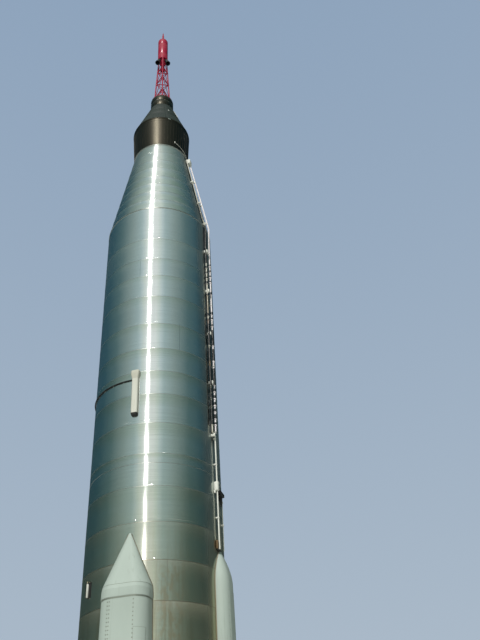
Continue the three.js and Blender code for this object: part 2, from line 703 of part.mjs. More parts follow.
const smallClamps = (stations) => stations.map((station) => [station, 38, 60, 6]);
const conduits = [
  { name: 'conduit_outer', off: 66, radius: 26, steps: 22, look: WHITE,
    route: [[515, 91], [600, 89], [640, 86.5], [652, 84.2], [675, 83.2], [830, 82.2], [916, 80.2]],
    clamps: smallClamps([549, 595, 684, 760, 840, 915]) },
  { name: 'conduit_main', off: 52, radius: 22, steps: 22, look: WHITE,
    route: [[515, 75], [560, 75.6], [600, 74.6], [634, 74], [645, 77], [655, 76.8], [675, 75.8],
      [918, 75.2]],
    clamps: smallClamps([560, 601, 641, 680, 740, 799, 860, 917]) },
  { name: 'conduit_lower', off: 50, radius: 20, steps: 4, look: WHITE,
    route: [[919, 79.8], [1025.5, 79.8]],
    clamps: [[922, 30, 50, 5], [974, 48, 200, 14], [1022, 40, 170, 6]] },
  { name: 'conduit_thin', off: 36, radius: 11, steps: 4, look: BEIGE,
    route: [[977, 93], [1023, 92]],
    clamps: [[979, 20, 50, 6], [1021, 18, 40, 4]] },
];
for (const { name, look, ...shape } of conduits) {
  add(name, conduit(shape), look);
}

export default rocket;
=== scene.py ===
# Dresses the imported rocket: a crewed one-and-a-half-stage rocket that stands upright.
# Metres, +Z up, origin on the axis at the hold-down pads' undersides. Azimuths are degrees
# from -Y towards +X, and stations are inches aft of a point ahead of the nose.
import json
import math

import bmesh
import bpy
from mathutils import Matrix, Vector

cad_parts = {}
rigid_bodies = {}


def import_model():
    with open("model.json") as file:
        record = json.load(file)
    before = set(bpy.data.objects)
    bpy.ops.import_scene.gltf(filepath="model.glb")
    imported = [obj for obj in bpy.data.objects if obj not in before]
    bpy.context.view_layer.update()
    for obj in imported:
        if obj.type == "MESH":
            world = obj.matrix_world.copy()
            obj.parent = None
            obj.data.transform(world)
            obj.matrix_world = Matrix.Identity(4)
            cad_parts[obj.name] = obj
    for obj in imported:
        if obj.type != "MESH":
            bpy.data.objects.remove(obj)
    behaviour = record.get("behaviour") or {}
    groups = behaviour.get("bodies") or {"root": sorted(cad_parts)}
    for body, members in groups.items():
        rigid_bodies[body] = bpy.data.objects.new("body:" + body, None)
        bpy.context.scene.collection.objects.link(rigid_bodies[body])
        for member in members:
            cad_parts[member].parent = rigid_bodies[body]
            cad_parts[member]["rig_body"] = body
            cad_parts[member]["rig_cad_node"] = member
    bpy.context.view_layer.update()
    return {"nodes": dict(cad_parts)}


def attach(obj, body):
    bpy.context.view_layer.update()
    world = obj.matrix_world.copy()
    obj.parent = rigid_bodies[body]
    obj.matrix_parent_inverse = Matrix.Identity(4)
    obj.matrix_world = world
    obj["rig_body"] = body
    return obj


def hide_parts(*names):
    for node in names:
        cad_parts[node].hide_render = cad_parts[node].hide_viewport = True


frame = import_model()
scene = bpy.context.scene

# Viewpoint: a low one beside the pad, 15.4 m from the axis and 1 m above the pads' plane.
# It looks up past the front nacelle, a little to the vehicle's right, with a slight roll.
EYE_AZIMUTH = 19.6
EYE_DISTANCE = 15.427
EYE_HEIGHT = 1.0
LOOK_UP = 0.65865
LOOK_RIGHT = 0.1469
ROLL = -0.074526
LENS = 39.24
tip_up = Matrix.Rotation(-LOOK_UP, 3, "X") @ Matrix.Rotation(LOOK_RIGHT, 3, "Z")
look = Matrix.Rotation(ROLL, 3, "Y") @ tip_up
right, ahead, up = look
turn = Matrix.Rotation(math.radians(EYE_AZIMUTH), 3, "Z")
axes = turn @ Matrix((right, up, -ahead)).transposed()
stand = turn @ Vector((0, -EYE_DISTANCE, EYE_HEIGHT))
bpy.ops.object.camera_add(location=stand, rotation=axes.to_euler())
camera = bpy.context.object
camera.name = "camera"
camera.data.lens = LENS
camera.data.sensor_width = 36
camera.data.clip_end = 2000
scene.camera = camera
scene.view_settings.view_transform = "Standard"


# Studio: a wide pale floor a metre under the pads, one high sun on the front in two shares, of
# which the steel mirrors only the first, and a surround that is bright in front and dim behind.
class Field:
    """A socket that varies over a surface, with plain arithmetic."""

    def __init__(self, paint, socket):
        self.paint = paint
        self.socket = socket

    def __add__(self, other):
        return self.paint.maths("ADD", self, other)

    __radd__ = __add__

    def __sub__(self, other):
        return self.paint.maths("SUBTRACT", self, other)

    def __rsub__(self, other):
        return self.paint.maths("SUBTRACT", other, self)

    def __mul__(self, other):
        return self.paint.maths("MULTIPLY", self, other)

    __rmul__ = __mul__

    def __truediv__(self, other):
        return self.paint.maths("DIVIDE", self, other)

    def __lt__(self, other):
        return self.paint.maths("LESS_THAN", self, other)

    def __gt__(self, other):
        return self.paint.maths("GREATER_THAN", self, other)

    def __mod__(self, other):
        return self.paint.maths("FLOORED_MODULO", self, other)

    def __abs__(self):
        return self.paint.maths("ABSOLUTE", self)


class Paint:
    """The node tree of a material or of the surround."""

    def __init__(self, owner):
        owner.use_nodes = True
        self.owner = owner
        self.tree = owner.node_tree
        self.tree.nodes.clear()

    def node(self, kind, settings=None, values=None, output=0):
        made = self.tree.nodes.new(kind)
        for name, value in (settings or {}).items():
            if name == "stops":
                self.lay_stops(made.color_ramp, value)
            else:
                setattr(made, name, value)
        for name, value in (values or {}).items():
            socket = made.inputs[name]
            if isinstance(value, Field):
                self.tree.links.new(value.socket, socket)
            elif socket.type == "RGBA":
                socket.default_value = (*value, 1.0)
            else:
                socket.default_value = value
        return Field(self, made.outputs[output])

    def lay_stops(self, ramp, stops):
        steady = stops[0] == "steps"
        rows = stops[1:] if steady else stops
        ramp.interpolation = "CONSTANT" if steady else "LINEAR"
        ramp.elements.remove(ramp.elements[1])
        ramp.elements[0].position = rows[0][0]
        ramp.elements[0].color = (*rows[0][1], 1.0)
        for place, colour in rows[1:]:
            ramp.elements.new(place).color = (*colour, 1.0)

    def maths(self, operation, first, second=0.0):
        return self.node("ShaderNodeMath", {"operation": operation}, {0: first, 1: second})

    def split(self, vector):
        parts = self.node("ShaderNodeSeparateXYZ", None, {0: vector})
        outputs = parts.socket.node.outputs
        return [Field(self, outputs[i]) for i in range(3)]

    def place(self):
        return self.node("ShaderNodeTexCoord", output="Object")

    def stretched(self, vector, scale):
        return self.node("ShaderNodeVectorMath", {"operation": "MULTIPLY"}, {0: vector, 1: scale})

    def noise(self, vector, scale, detail=2.0, rough=0.5):
        values = {"Vector": vector, "Scale": scale, "Detail": detail, "Roughness": rough}
        return self.node("ShaderNodeTexNoise", None, values)

    def step(self, value, low, high):
        values = {"Value": value, "From Min": low, "From Max": high}
        return self.node("ShaderNodeMapRange", {"interpolation_type": "SMOOTHSTEP"}, values)

    def ramp(self, value, *stops):
        return self.node("ShaderNodeValToRGB", {"stops": stops}, {"Fac": value})

    def mix(self, share, first, second):
        values = {0: share, 6: first, 7: second}
        return self.node("ShaderNodeMix", {"data_type": "RGBA"}, values, output=2)

    def dimmed(self, colour, share):
        values = {0: colour, "Scale": share}
        return self.node("ShaderNodeVectorMath", {"operation": "SCALE"}, values)

    def azimuth(self, x, y):
        """Share of a turn from -Y towards +X, from -0.5 to 0.5."""
        return self.maths("ARCTAN2", x, y * -1.0) / math.tau

    def bump(self, height, depth):
        return self.node("ShaderNodeBump", None, {"Height": height, "Distance": depth})

    def surface(self, values):
        shader = self.node("ShaderNodeBsdfPrincipled", None, values)
        self.node_output("ShaderNodeOutputMaterial", shader)
        return self.owner

    def node_output(self, kind, shader):
        end = self.tree.nodes.new(kind)
        self.tree.links.new(shader.socket, end.inputs["Surface"])


def new_paint(name):
    return Paint(bpy.data.materials.new(name))


def worn_finish(name, grain, first, second, rough, spread, relief=0.0, **more):
    """A finish between two colours; grain is the noise's stretch, scale and detail."""
    paint = new_paint(name)
    stretch, scale, detail = grain
    place = paint.place()
    wear = paint.noise(paint.stretched(place, stretch) if stretch else place, scale, detail)
    values = {"Base Color": paint.mix(wear, first, second), "Roughness": rough + spread * wear}
    if relief:
        values["Normal"] = paint.bump(wear, relief)
    for key, value in more.items():
        values[key.replace("_", " ").title()] = value
    return paint.surface(values)


FLOOR_Z = -1.0
FLOOR_RADIUS = 260.0
bpy.ops.object.select_all(action="DESELECT")
bpy.ops.mesh.primitive_circle_add(
    vertices=128, radius=FLOOR_RADIUS, fill_type="NGON", location=(0, 0, FLOOR_Z),
)
floor = bpy.context.object
floor.name = "floor"
floor.data.materials.append(worn_finish(
    "pale_floor", (None, 0.35, 4.0), (0.60, 0.60, 0.58), (0.68, 0.67, 0.65), 0.85, 0.0,
))

SUN_HEIGHT = 42.0
for name, energy, mirrored in [("sun", 1.5, True), ("fill_sun", 1.1, False)]:
    bpy.ops.object.light_add(type="SUN", rotation=(math.radians(90 - SUN_HEIGHT), 0, 0))
    sun = bpy.context.object
    sun.name = name
    sun.data.energy = energy
    sun.data.angle = math.radians(1.5)
    sun.data.color = (1.0, 0.985, 0.95)
    sun.visible_glossy = mirrored

scene.world = bpy.data.worlds.new("surround")
sky = Paint(scene.world)
aim_x, aim_y, aim_z = sky.split(sky.node("ShaderNodeTexCoord", output="Generated"))
away = abs(sky.azimuth(aim_x, aim_y) - 0.014) * 2.0
wall = sky.ramp(
    away,
    (0.0, (0.86, 0.89, 0.89)),
    (0.05, (0.84, 0.88, 0.88)),
    (0.08, (0.70, 0.78, 0.76)),
    (0.11, (0.56, 0.66, 0.69)),
    (0.145, (0.40, 0.51, 0.53)),
    (0.26, (0.26, 0.34, 0.34)),
    (0.41, (0.092, 0.165, 0.178)),
    (0.58, (0.034, 0.090, 0.118)),
    (0.78, (0.032, 0.076, 0.105)),
    (1.0, (0.045, 0.075, 0.095)),
)
wall = sky.mix(sky.step(aim_z, 0.56, 0.34), wall, sky.stretched(wall, (0.76, 0.79, 0.68)))
low = sky.step(aim_z, 0.42, 0.12) * sky.step(away, 0.20, 0.5)
wall = sky.mix(low * 0.7, wall, (0.058, 0.072, 0.046))
overhead = sky.ramp(
    sky.azimuth(aim_x, aim_y) + 0.5,
    (0.10, (0.12, 0.15, 0.14)),
    (0.21, (0.21, 0.25, 0.21)),
    (0.31, (0.32, 0.41, 0.35)),
    (0.39, (0.50, 0.60, 0.53)),
    (0.47, (0.74, 0.81, 0.75)),
    (0.56, (0.68, 0.76, 0.67)),
    (0.60, (0.46, 0.56, 0.50)),
    (0.65, (0.36, 0.46, 0.41)),
    (0.72, (0.23, 0.32, 0.25)),
    (0.80, (0.12, 0.20, 0.18)),
    (0.90, (0.04, 0.09, 0.10)),
)
wall = sky.mix(sky.step(aim_z, 0.82, 0.93), wall, overhead)
backdrop = sky.ramp(aim_z, (0.0, (0.44, 0.52, 0.60)), (1.0, (0.25, 0.35, 0.49)))
seen = sky.node("ShaderNodeLightPath", output="Is Camera Ray")
sky.node_output("ShaderNodeOutputWorld", sky.node(
    "ShaderNodeBackground", None, {"Color": sky.mix(seen, wall, backdrop)},
))


# Tank: thin stainless bands, each rolled into a ring and lap-welded to the next, blown
# round by its own pressure. The forward cone is short gored bands, the rest two barrels.
def station(inches):
    """Height in metres of a station."""
    return (1272 - inches) * 0.0254


def pick(piece):
    """Makes this piece the only one selected."""
    bpy.ops.object.select_all(action="DESELECT")
    piece.select_set(True)
    bpy.context.view_layer.objects.active = piece


def edit(piece):
    """Enters edit mode on a piece."""
    pick(piece)
    bpy.ops.object.mode_set(mode="EDIT")


def leave():
    """Leaves edit mode."""
    bpy.ops.object.mode_set(mode="OBJECT")


def closed(gap=1e-5):
    """Merges doubles and turns the normals outward in edit mode, then leaves it."""
    bpy.ops.mesh.select_all(action="SELECT")
    bpy.ops.mesh.remove_doubles(threshold=gap)
    bpy.ops.mesh.normals_make_consistent(inside=False)
    leave()


def smooth(piece, degrees=32):
    """Shades a piece smooth, but for edges sharper than the angle."""
    pick(piece)
    bpy.ops.object.transform_apply(location=True, rotation=True, scale=True)
    bpy.ops.object.shade_smooth_by_angle(angle=math.radians(degrees))
    return piece


def turned(name, rows, sides, at=(0.0, 0.0)):
    """A lathe shape: rows of (radius, height), closed where they begin and end on the axis."""
    bpy.ops.object.select_all(action="DESELECT")
    radius, height = rows[0]
    bpy.ops.mesh.primitive_plane_add(calc_uvs=False, location=(at[0] + radius, at[1], height))
    piece = bpy.context.object
    piece.name = name
    bpy.ops.object.transform_apply(location=True)
    bpy.ops.object.mode_set(mode="EDIT")
    bpy.ops.mesh.select_mode(type="VERT")
    bpy.ops.mesh.select_all(action="SELECT")
    bpy.ops.mesh.merge(type="CENTER")
    for next_radius, next_height in rows[1:]:
        stride = (next_radius - radius, 0, next_height - height)
        bpy.ops.mesh.extrude_region_move(TRANSFORM_OT_translate={"value": stride})
        radius, height = next_radius, next_height
    bpy.ops.mesh.select_all(action="SELECT")
    bpy.ops.mesh.spin(steps=sides, angle=math.tau, center=(*at, 0), axis=(0, 0, 1))
    closed()
    return smooth(piece)


def fit(piece, finish, body="vehicle", replaces=()):
    """Gives a finished piece its material and its body, and hides the CAD nodes it stands for."""
    piece.data.materials.clear()
    piece.data.materials.append(finish)
    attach(piece, body)
    if replaces:
        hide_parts(*replaces)
    return piece


FORWARD_RADIUS = 0.889
TANK_RADIUS = 1.524
RING_STATION = 502
CONE_STATION = 645
JOINT_STATION = 1133
LAP = 0.0016
CROWN = 0.0005


def skin_radius(inches):
    """Radius of the tank's skin at a station."""
    share = min(1.0, max(0.0, (inches - RING_STATION) / (CONE_STATION - RING_STATION)))
    return FORWARD_RADIUS + share * (TANK_RADIUS - FORWARD_RADIUS)


def band_rows(aft, forward, seams):
    """Rows of a tank wall from aft to forward, with a raised lap at each seam."""
    rows = [(skin_radius(aft), station(aft))]
    below = aft
    for seam in sorted(seams, reverse=True) + [forward]:
        middle = (below + seam) / 2
        rows.append((skin_radius(middle) + CROWN, station(middle)))
        if seam != forward:
            foot = skin_radius(seam)
            rows += [
                (foot, station(seam) - 0.019),
                (foot + LAP, station(seam) - 0.014),
                (foot + LAP, station(seam) + 0.014),
                (foot, station(seam) + 0.015),
            ]
        below = seam
    rows.append((skin_radius(forward), station(forward)))
    return [(0.0, rows[0][1]), *rows, (0.0, rows[-1][1])]


cone_seams = [520, 539, 558, 577, 594, 611, 628]
upper_seams = [694, 723, 747, 775, 810, 840, 866, 891, 921, 951]
lower_seams = [981, 1012, 1043, 1074, 1104]

# Each band's steel: station of its forward edge, tone, roughness, place of its pattern
band_table = [
    (1104, 0.88, 0.150, 0.31), (1074, 0.885, 0.150, 0.12), (1043, 0.89, 0.147, 0.58),
    (1012, 0.90, 0.145, 0.90), (981, 0.92, 0.138, 0.24), (951, 0.91, 0.140, 0.66),
    (921, 0.93, 0.150, 0.05), (891, 0.91, 0.135, 0.42), (866, 0.94, 0.140, 0.83),
    (840, 0.92, 0.130, 0.17), (810, 0.94, 0.130, 0.61), (775, 0.92, 0.140, 0.36),
    (747, 0.95, 0.145, 0.95), (723, 0.93, 0.150, 0.50), (694, 0.97, 0.200, 0.73),
    (645, 0.96, 0.170, 0.28), (628, 0.97, 0.185, 0.88), (611, 0.95, 0.180, 0.07),
    (594, 0.98, 0.195, 0.47), (577, 0.95, 0.190, 0.69), (558, 0.98, 0.220, 0.20),
    (539, 0.96, 0.250, 0.80), (520, 0.99, 0.290, 0.39), (502, 0.96, 0.300, 0.55),
]


def steel_finish():
    """Mirror-like rolled steel: each band has its own tone, and grime lies by the pipes; painted
    shade behind the pipes and on the right side, and a painted reflection of the nacelle.
    """
    paint = new_paint("banded_steel")
    place = paint.place()
    x, y, z = paint.split(place)
    low, high = station(JOINT_STATION), station(RING_STATION)
    aft_edges = [JOINT_STATION] + [row[0] for row in band_table[:-1]]
    stops = [
        ((station(aft) - low) / (high - low), row[1:]) for aft, row in zip(aft_edges, band_table)
    ]
    band = paint.ramp((z - low) / (high - low), "steps", *stops)
    tone, rough, shift = paint.split(band)
    turn_share = paint.azimuth(x, y)
    slide = paint.node("ShaderNodeCombineXYZ", None, {"Z": shift * 60.0, "X": shift * 23.0})
    moved = paint.node("ShaderNodeVectorMath", {"operation": "ADD"}, {0: place, 1: slide})
    dents = paint.noise(paint.stretched(moved, (1.0, 1.0, 1.3)), 1.5, 1.0)
    ripple = paint.noise(paint.stretched(moved, (1.0, 1.0, 0.55)), 4.5, 2.0)
    streaks = paint.noise(paint.stretched(moved, (8.0, 8.0, 0.35)), 1.6, 4.0, 0.6)
    brushed = paint.noise(paint.stretched(place, (0.6, 0.6, 26.0)), 1.4, 3.0, 0.6)
    weld_line = abs(((turn_share - shift) % 1.0) - 0.5) < 0.0006
    on_cone = paint.step(z, station(648), station(640))
    foot_dirt = paint.step(z, station(980), station(1120)) * paint.step(streaks, 0.42, 0.66)
    tint = paint.mix(streaks, (0.79, 0.845, 0.83), (0.84, 0.865, 0.845))
    shade = tone * (0.86 + 0.22 * brushed) * (1.0 - 0.28 * weld_line)
    colour = paint.dimmed(tint, shade)
    aged = paint.step(z, station(960), station(1105))
    colour = paint.mix(aged, colour, paint.stretched(colour, (0.97, 0.89, 0.76)))
    # Painted shade: the lower barrel's right side, away from the sun, is darkened and warmed in
    # its colour.
    painted_side_shade = paint.step(turn_share, 0.085, 0.130) * paint.step(z, station(900), station(1050))
    colour = paint.mix(painted_side_shade, colour, paint.stretched(colour, (0.84, 0.82, 0.75)))
    # Painted reflection: a beige speckled patch beside the front nacelle stands for the nacelle's
    # side mirrored in the steel.
    specks = paint.noise(paint.stretched(place, (9.0, 9.0, 5.0)), 1.6, 4.0, 0.6)
    near_nacelle = paint.step(abs(turn_share - 0.090), 0.040, 0.012)
    near_nacelle = near_nacelle * paint.step(z, station(1035), station(1062))
    painted_nacelle_reflection = near_nacelle * paint.step(specks, 0.44, 0.62)
    colour = paint.mix(painted_nacelle_reflection * 0.55, colour, (0.64, 0.47, 0.32))
    colour = paint.mix(foot_dirt * 0.45, colour, (0.42, 0.34, 0.22))
    beside = paint.step(abs(turn_share - 0.222), 0.062, 0.030)
    grime = paint.mix(aged, (0.20, 0.25, 0.235), (0.27, 0.27, 0.14))
    colour = paint.mix(beside * 0.5, colour, grime)
    # Painted shade: a near-black strip on the steel behind the pipes on the barrel stands for
    # their shadow.
    painted_pipe_shade = paint.step(abs(turn_share - 0.2205), 0.0145, 0.0095)
    painted_pipe_shade = painted_pipe_shade * paint.step(z, station(935), station(918))
    colour = paint.mix(painted_pipe_shade * 0.86, colour, (0.030, 0.032, 0.030))
    depth = dents * (1.0 + on_cone * 2.2 - aged * 0.45) + ripple * 0.12
    return paint.surface({
        "Base Color": colour,
        "Metallic": 1.0,
        "Roughness": rough + 0.03 * (streaks - 0.5) + 0.05 * aged + 0.13 * beside,
        "Anisotropic": 1.0,
        "Anisotropic Rotation": 0.25,
        "Normal": paint.bump(depth, 0.0045),
    })


banded_steel = steel_finish()
TANK_SIDES = 192
BARREL_JOINT = 960
walls = [
    ("cone_skin", "tank_forward_cone", CONE_STATION, RING_STATION, cone_seams),
    ("oxidizer_skin", "tank_oxidizer_barrel", BARREL_JOINT, CONE_STATION, upper_seams),
    ("fuel_skin", "tank_fuel_barrel", JOINT_STATION, BARREL_JOINT, lower_seams),
]
for name, node, aft, forward, seams in walls:
    skin = turned(name, band_rows(aft, forward, seams), TANK_SIDES)
    fit(skin, banded_steel, replaces=[node])

# Welds on the tank: a ground bead round the shoulder, where the cone meets the barrel, and
# a dull heat-marked strip along each lap. They are the tank's own steel, burnished by hand.
paint = new_paint("weld_steel")
place = paint.place()
z = paint.split(place)[2]
marks = paint.noise(paint.stretched(place, (14.0, 14.0, 3.0)), 1.0, 3.0)
heated = paint.mix(marks, (0.33, 0.36, 0.34), (0.60, 0.60, 0.55))
foot_heat = paint.step(z, station(BARREL_JOINT), station(1060))
weld_steel = paint.surface({
    "Base Color": paint.mix(foot_heat * 0.7, heated, (0.30, 0.21, 0.11)),
    "Metallic": 1.0,
    "Roughness": 0.36 + 0.2 * marks,
    "Anisotropic": 0.8,
    "Anisotropic Rotation": 0.25,
})


def hoop(name, inches, width, proud):
    """A flat band round the tank's skin at a station."""
    outer = skin_radius(inches) + proud
    middle = station(inches)
    inner = outer - proud - 0.004
    return turned(name, [
        (inner, middle - width / 2),
        (outer, middle - width / 2 + proud / 2),
        (outer, middle + width / 2 - proud / 2),
        (inner, middle + width / 2),
        (inner, middle - width / 2),
    ], TANK_SIDES)


def joined(name, parts):
    """One piece out of several parts."""
    bpy.ops.object.select_all(action="DESELECT")
    for part in parts:
        part.select_set(True)
    bpy.context.view_layer.objects.active = parts[0]
    bpy.ops.object.join()
    parts[0].name = name
    return smooth(parts[0])


shoulder = hoop("shoulder_bead", CONE_STATION, 0.045, 0.005)
fit(shoulder, weld_steel)
lap_stations = cone_seams + upper_seams + lower_seams + [BARREL_JOINT]
strips = [hoop("strip", s, 0.012, 0.0022) for s in lap_stations]
fit(joined("lap_strips", strips), weld_steel)

# Forward ring and adapter: a machined steel ring bolted round the tank's top, and above it
# a riveted dark metal drum stiffened by upright ribs, between a foot band and a head band.
TOP = station(RING_STATION)


def select_faces(piece, wanted):
    """Selects, in edit mode, the faces whose centre and normal are wanted."""
    bpy.ops.mesh.select_mode(type="FACE")
    bpy.ops.mesh.select_all(action="DESELECT")
    shape = bmesh.from_edit_mesh(piece.data)
    for face in shape.faces:
        if wanted(face.calc_center_median(), face.normal):
            face.select_set(True)
    bmesh.update_edit_mesh(piece.data)


def select_points(piece, wanted):
    """Selects, in edit mode, the points whose place is wanted."""
    bpy.ops.mesh.select_mode(type="VERT")
    bpy.ops.mesh.select_all(action="DESELECT")
    shape = bmesh.from_edit_mesh(piece.data)
    for vert in shape.verts:
        vert.select_set(wanted(vert.co))
    shape.select_flush_mode()
    bmesh.update_edit_mesh(piece.data)


def column_of(point, sides):
    """Which of the sides a point lies in, counted round the axis."""
    share = math.atan2(point.y, point.x) / math.tau % 1.0
    return int(share * sides)


def raised(piece, wanted, height):
    """Pushes the wanted faces out along their normals, with side walls."""
    edit(piece)
    select_faces(piece, wanted)
    bpy.ops.mesh.extrude_region_shrink_fatten(TRANSFORM_OT_shrink_fatten={"value": height})
    leave()


EDGE_ANGLE = 35


def bevelled(piece, width, segments=2):
    """Breaks a piece's sharp edges."""
    pick(piece)
    edge = piece.modifiers.new("edge", "BEVEL")
    edge.width = width
    edge.segments = segments
    edge.limit_method = "ANGLE"
    edge.angle_limit = math.radians(EDGE_ANGLE)
    bpy.ops.object.modifier_apply(modifier=edge.name)
    return smooth(piece)


def placed(template, name, matrix):
    """A copy of a piece with its own mesh, moved to its place."""
    copy = template.copy()
    copy.data = template.data.copy()
    copy.name = name
    scene.collection.objects.link(copy)
    copy.data.transform(matrix)
    return copy


def spread(name, template, matrices):
    """Many copies of a small fastener in one mesh; the template is used up."""
    shape = bmesh.new()
    for matrix in matrices:
        one = template.data.copy()
        one.transform(matrix)
        shape.from_mesh(one)
        bpy.data.meshes.remove(one)
    mesh = bpy.data.meshes.new(name)
    shape.to_mesh(mesh)
    shape.free()
    piece = bpy.data.objects.new(name, mesh)
    scene.collection.objects.link(piece)
    bpy.data.objects.remove(template)
    return smooth(piece)


def polar(azimuth, radius, height):
    """Point at an azimuth, counted from -Y towards +X."""
    angle = math.radians(azimuth)
    return Vector((radius * math.sin(angle), -radius * math.cos(angle), height))


def about_axis(azimuth):
    """Matrix that turns a piece made on the -Y side to an azimuth."""
    return Matrix.Rotation(math.radians(azimuth), 4, "Z")


def outward(azimuth, radius, height, tilt=0.0):
    """Matrix that stands a fastener's +Z axis on a round surface at an azimuth."""
    face = Matrix.Rotation(math.radians(90 - tilt), 4, "X")
    return Matrix.Translation(polar(azimuth, radius, height)) @ about_axis(azimuth) @ face


def level_row(count, radius, height, start=0.0):
    """Places of fasteners in a level row round the axis."""
    return [outward(start + i * 360 / count, radius, height) for i in range(count)]


def bolt(across, tall):
    """A hexagon head with broken edges, standing on the origin."""
    bpy.ops.object.select_all(action="DESELECT")
    bpy.ops.mesh.primitive_cylinder_add(
        vertices=6, radius=across / 2, depth=tall, calc_uvs=False, location=(0, 0, tall / 2),
    )
    return bevelled(bpy.context.object, tall * 0.2, 1)


def block(name, size, matrix, edge=0.002):
    """A small block with broken edges, put in place by a matrix."""
    bpy.ops.object.select_all(action="DESELECT")
    bpy.ops.mesh.primitive_cube_add(size=1, calc_uvs=False)
    piece = bpy.context.object
    piece.name = name
    piece.data.transform(Matrix.Diagonal((*size, 1)))
    bevelled(piece, edge)
    piece.data.transform(matrix)
    return piece


def rivet(width, tall):
    """A low dome head, standing on the origin."""
    return turned("rivet", [
        (width / 2, 0.0), (width * 0.45, tall * 0.55), (width * 0.26, tall * 0.9), (0.0, tall),
    ], 8)


def stacked(name, rows, sides):
    """A lathe shape whose heights are counted from the tank's forward end."""
    return turned(name, [(r, TOP + h) for r, h in rows], sides)


paint = new_paint("dark_drum")
place = paint.place()
patches = paint.noise(paint.stretched(place, (2.2, 2.2, 0.8)), 2.0, 4.0)
runs = paint.noise(paint.stretched(place, (16.0, 16.0, 0.7)), 1.0, 3.0)
dark_drum = paint.surface({
    "Base Color": paint.mix(patches, (0.040, 0.037, 0.027), (0.058, 0.050, 0.038)),
    "Metallic": 1.0,
    "Roughness": 0.32 + 0.08 * runs,
    "Normal": paint.bump(patches, 0.002),
})

ring = stacked("forward_flange", [
    (0.0, 0.0003), (0.897, 0.0003), (0.903, 0.006), (0.903, 0.018), (0.893, 0.021),
    (0.893, 0.024), (0.903, 0.027), (0.903, 0.040), (0.898, 0.045), (0.0, 0.045),
], TANK_SIDES)
fit(ring, weld_steel, replaces=["forward_ring"])
places = level_row(72, 0.9025, TOP + 0.0335)
fit(spread("ring_bolts", bolt(0.011, 0.004), places), weld_steel)

RIBS = 56
RIB_STEPS = 4
drum_rows = [
    (0.0, 0.0453), (0.889, 0.0453), (0.8905, 0.11), (0.942, 1.24), (0.946, 1.33), (0.0, 1.33),
]
drum = stacked("adapter_drum", drum_rows, RIBS * RIB_STEPS)


def on_rib(point, normal):
    upright = TOP + 0.12 < point.z < TOP + 1.23
    return upright and abs(normal.z) < 0.5 and column_of(point, RIBS * RIB_STEPS) % RIB_STEPS == 0


raised(drum, on_rib, 0.009)
for foot, head in [(0.05, 0.105), (1.245, 1.325)]:
    raised(drum, lambda p, n: TOP + foot < p.z < TOP + head and abs(n.z) < 0.5, 0.004)
fit(smooth(drum), dark_drum, replaces=["adapter"])
places = level_row(112, 0.8935, TOP + 0.078, 1.0) + level_row(112, 0.9480, TOP + 1.285, 1.0)
fit(spread("drum_rivets", rivet(0.012, 0.004), places), dark_drum)

clamp = stacked("clamp_band", [
    (0.0, 1.3303), (0.952, 1.3303), (0.960, 1.345), (0.960, 1.358), (0.954, 1.362),
    (0.954, 1.368), (0.960, 1.372), (0.960, 1.385), (0.952, 1.4), (0.0, 1.4),
], TANK_SIDES)
fit(clamp, dark_drum, replaces=["clamp_ring"])
lug = block("lug", (0.09, 0.05, 0.012), Matrix.Identity(4), 0.003)
places = [outward(az, 0.958, TOP + 1.365) for az in (35, 155, 275)]
fit(spread("clamp_lugs", lug, places), weld_steel)

# Capsule: a cone of dark beaded heat-resisting shingles in three courses of twelve thin sheets,
# with a bolted side hatch and one window in a dark frame.
paint = new_paint("dark_shingle")
place = paint.place()
x, y = paint.split(place)[:2]
bead = paint.maths("SINE", paint.azimuth(x, y) * (math.tau * 72))
soot = paint.noise(paint.stretched(place, (3.0, 3.0, 1.2)), 2.4, 4.0)
dark_shingle = paint.surface({
    "Base Color": paint.mix(soot, (0.008, 0.014, 0.012), (0.017, 0.026, 0.022)),
    "Roughness": 0.53 + 0.16 * soot,
    "Normal": paint.bump(bead * 0.5 + soot * 0.4, 0.0025),
})
COURSES = [1.43, 1.93, 2.43, 2.945]
CAPSULE_COLUMNS = 96
CAPSULE_FOOT, CAPSULE_HEAD = (0.946, 1.40), (0.410, 2.95)
cone_slope = (CAPSULE_FOOT[0] - CAPSULE_HEAD[0]) / (CAPSULE_HEAD[1] - CAPSULE_FOOT[1])


def capsule_radius(height):
    """Radius of the capsule's cone at a height over the tank."""
    return CAPSULE_FOOT[0] - (height - CAPSULE_FOOT[1]) * cone_slope


cone_rows = [(0.0, 1.4003), (0.921, 1.4003), (0.946, 1.425)]
cone_rows += [(capsule_radius(h), h) for h in COURSES[:3]]
cone_rows += [(0.412, 2.945), CAPSULE_HEAD, (0.0, 2.95)]
capsule = stacked("capsule_skin", cone_rows, CAPSULE_COLUMNS)


def panelled(piece, sides, sectors, courses, low, lift):
    """Insets each panel between two courses and lifts it, four passes so none share an edge."""
    step = sides // sectors
    edit(piece)
    for odd_course in (0, 1):
        for odd_sector in (0, 1):
            def wanted(point, normal):
                level = sum(point.z > low + h for h in courses) - 1
                inside = 0 <= level < len(courses) - 1 and abs(normal.z) < 0.8
                sector = column_of(point, sides) // step
                return inside and level % 2 == odd_course and sector % 2 == odd_sector
            select_faces(piece, wanted)
            bpy.ops.mesh.inset(thickness=0.007, depth=lift)
    leave()
    return smooth(piece)


panelled(capsule, CAPSULE_COLUMNS, 12, COURSES, TOP, 0.004)
fit(capsule, dark_shingle, replaces=["capsule_cone"])


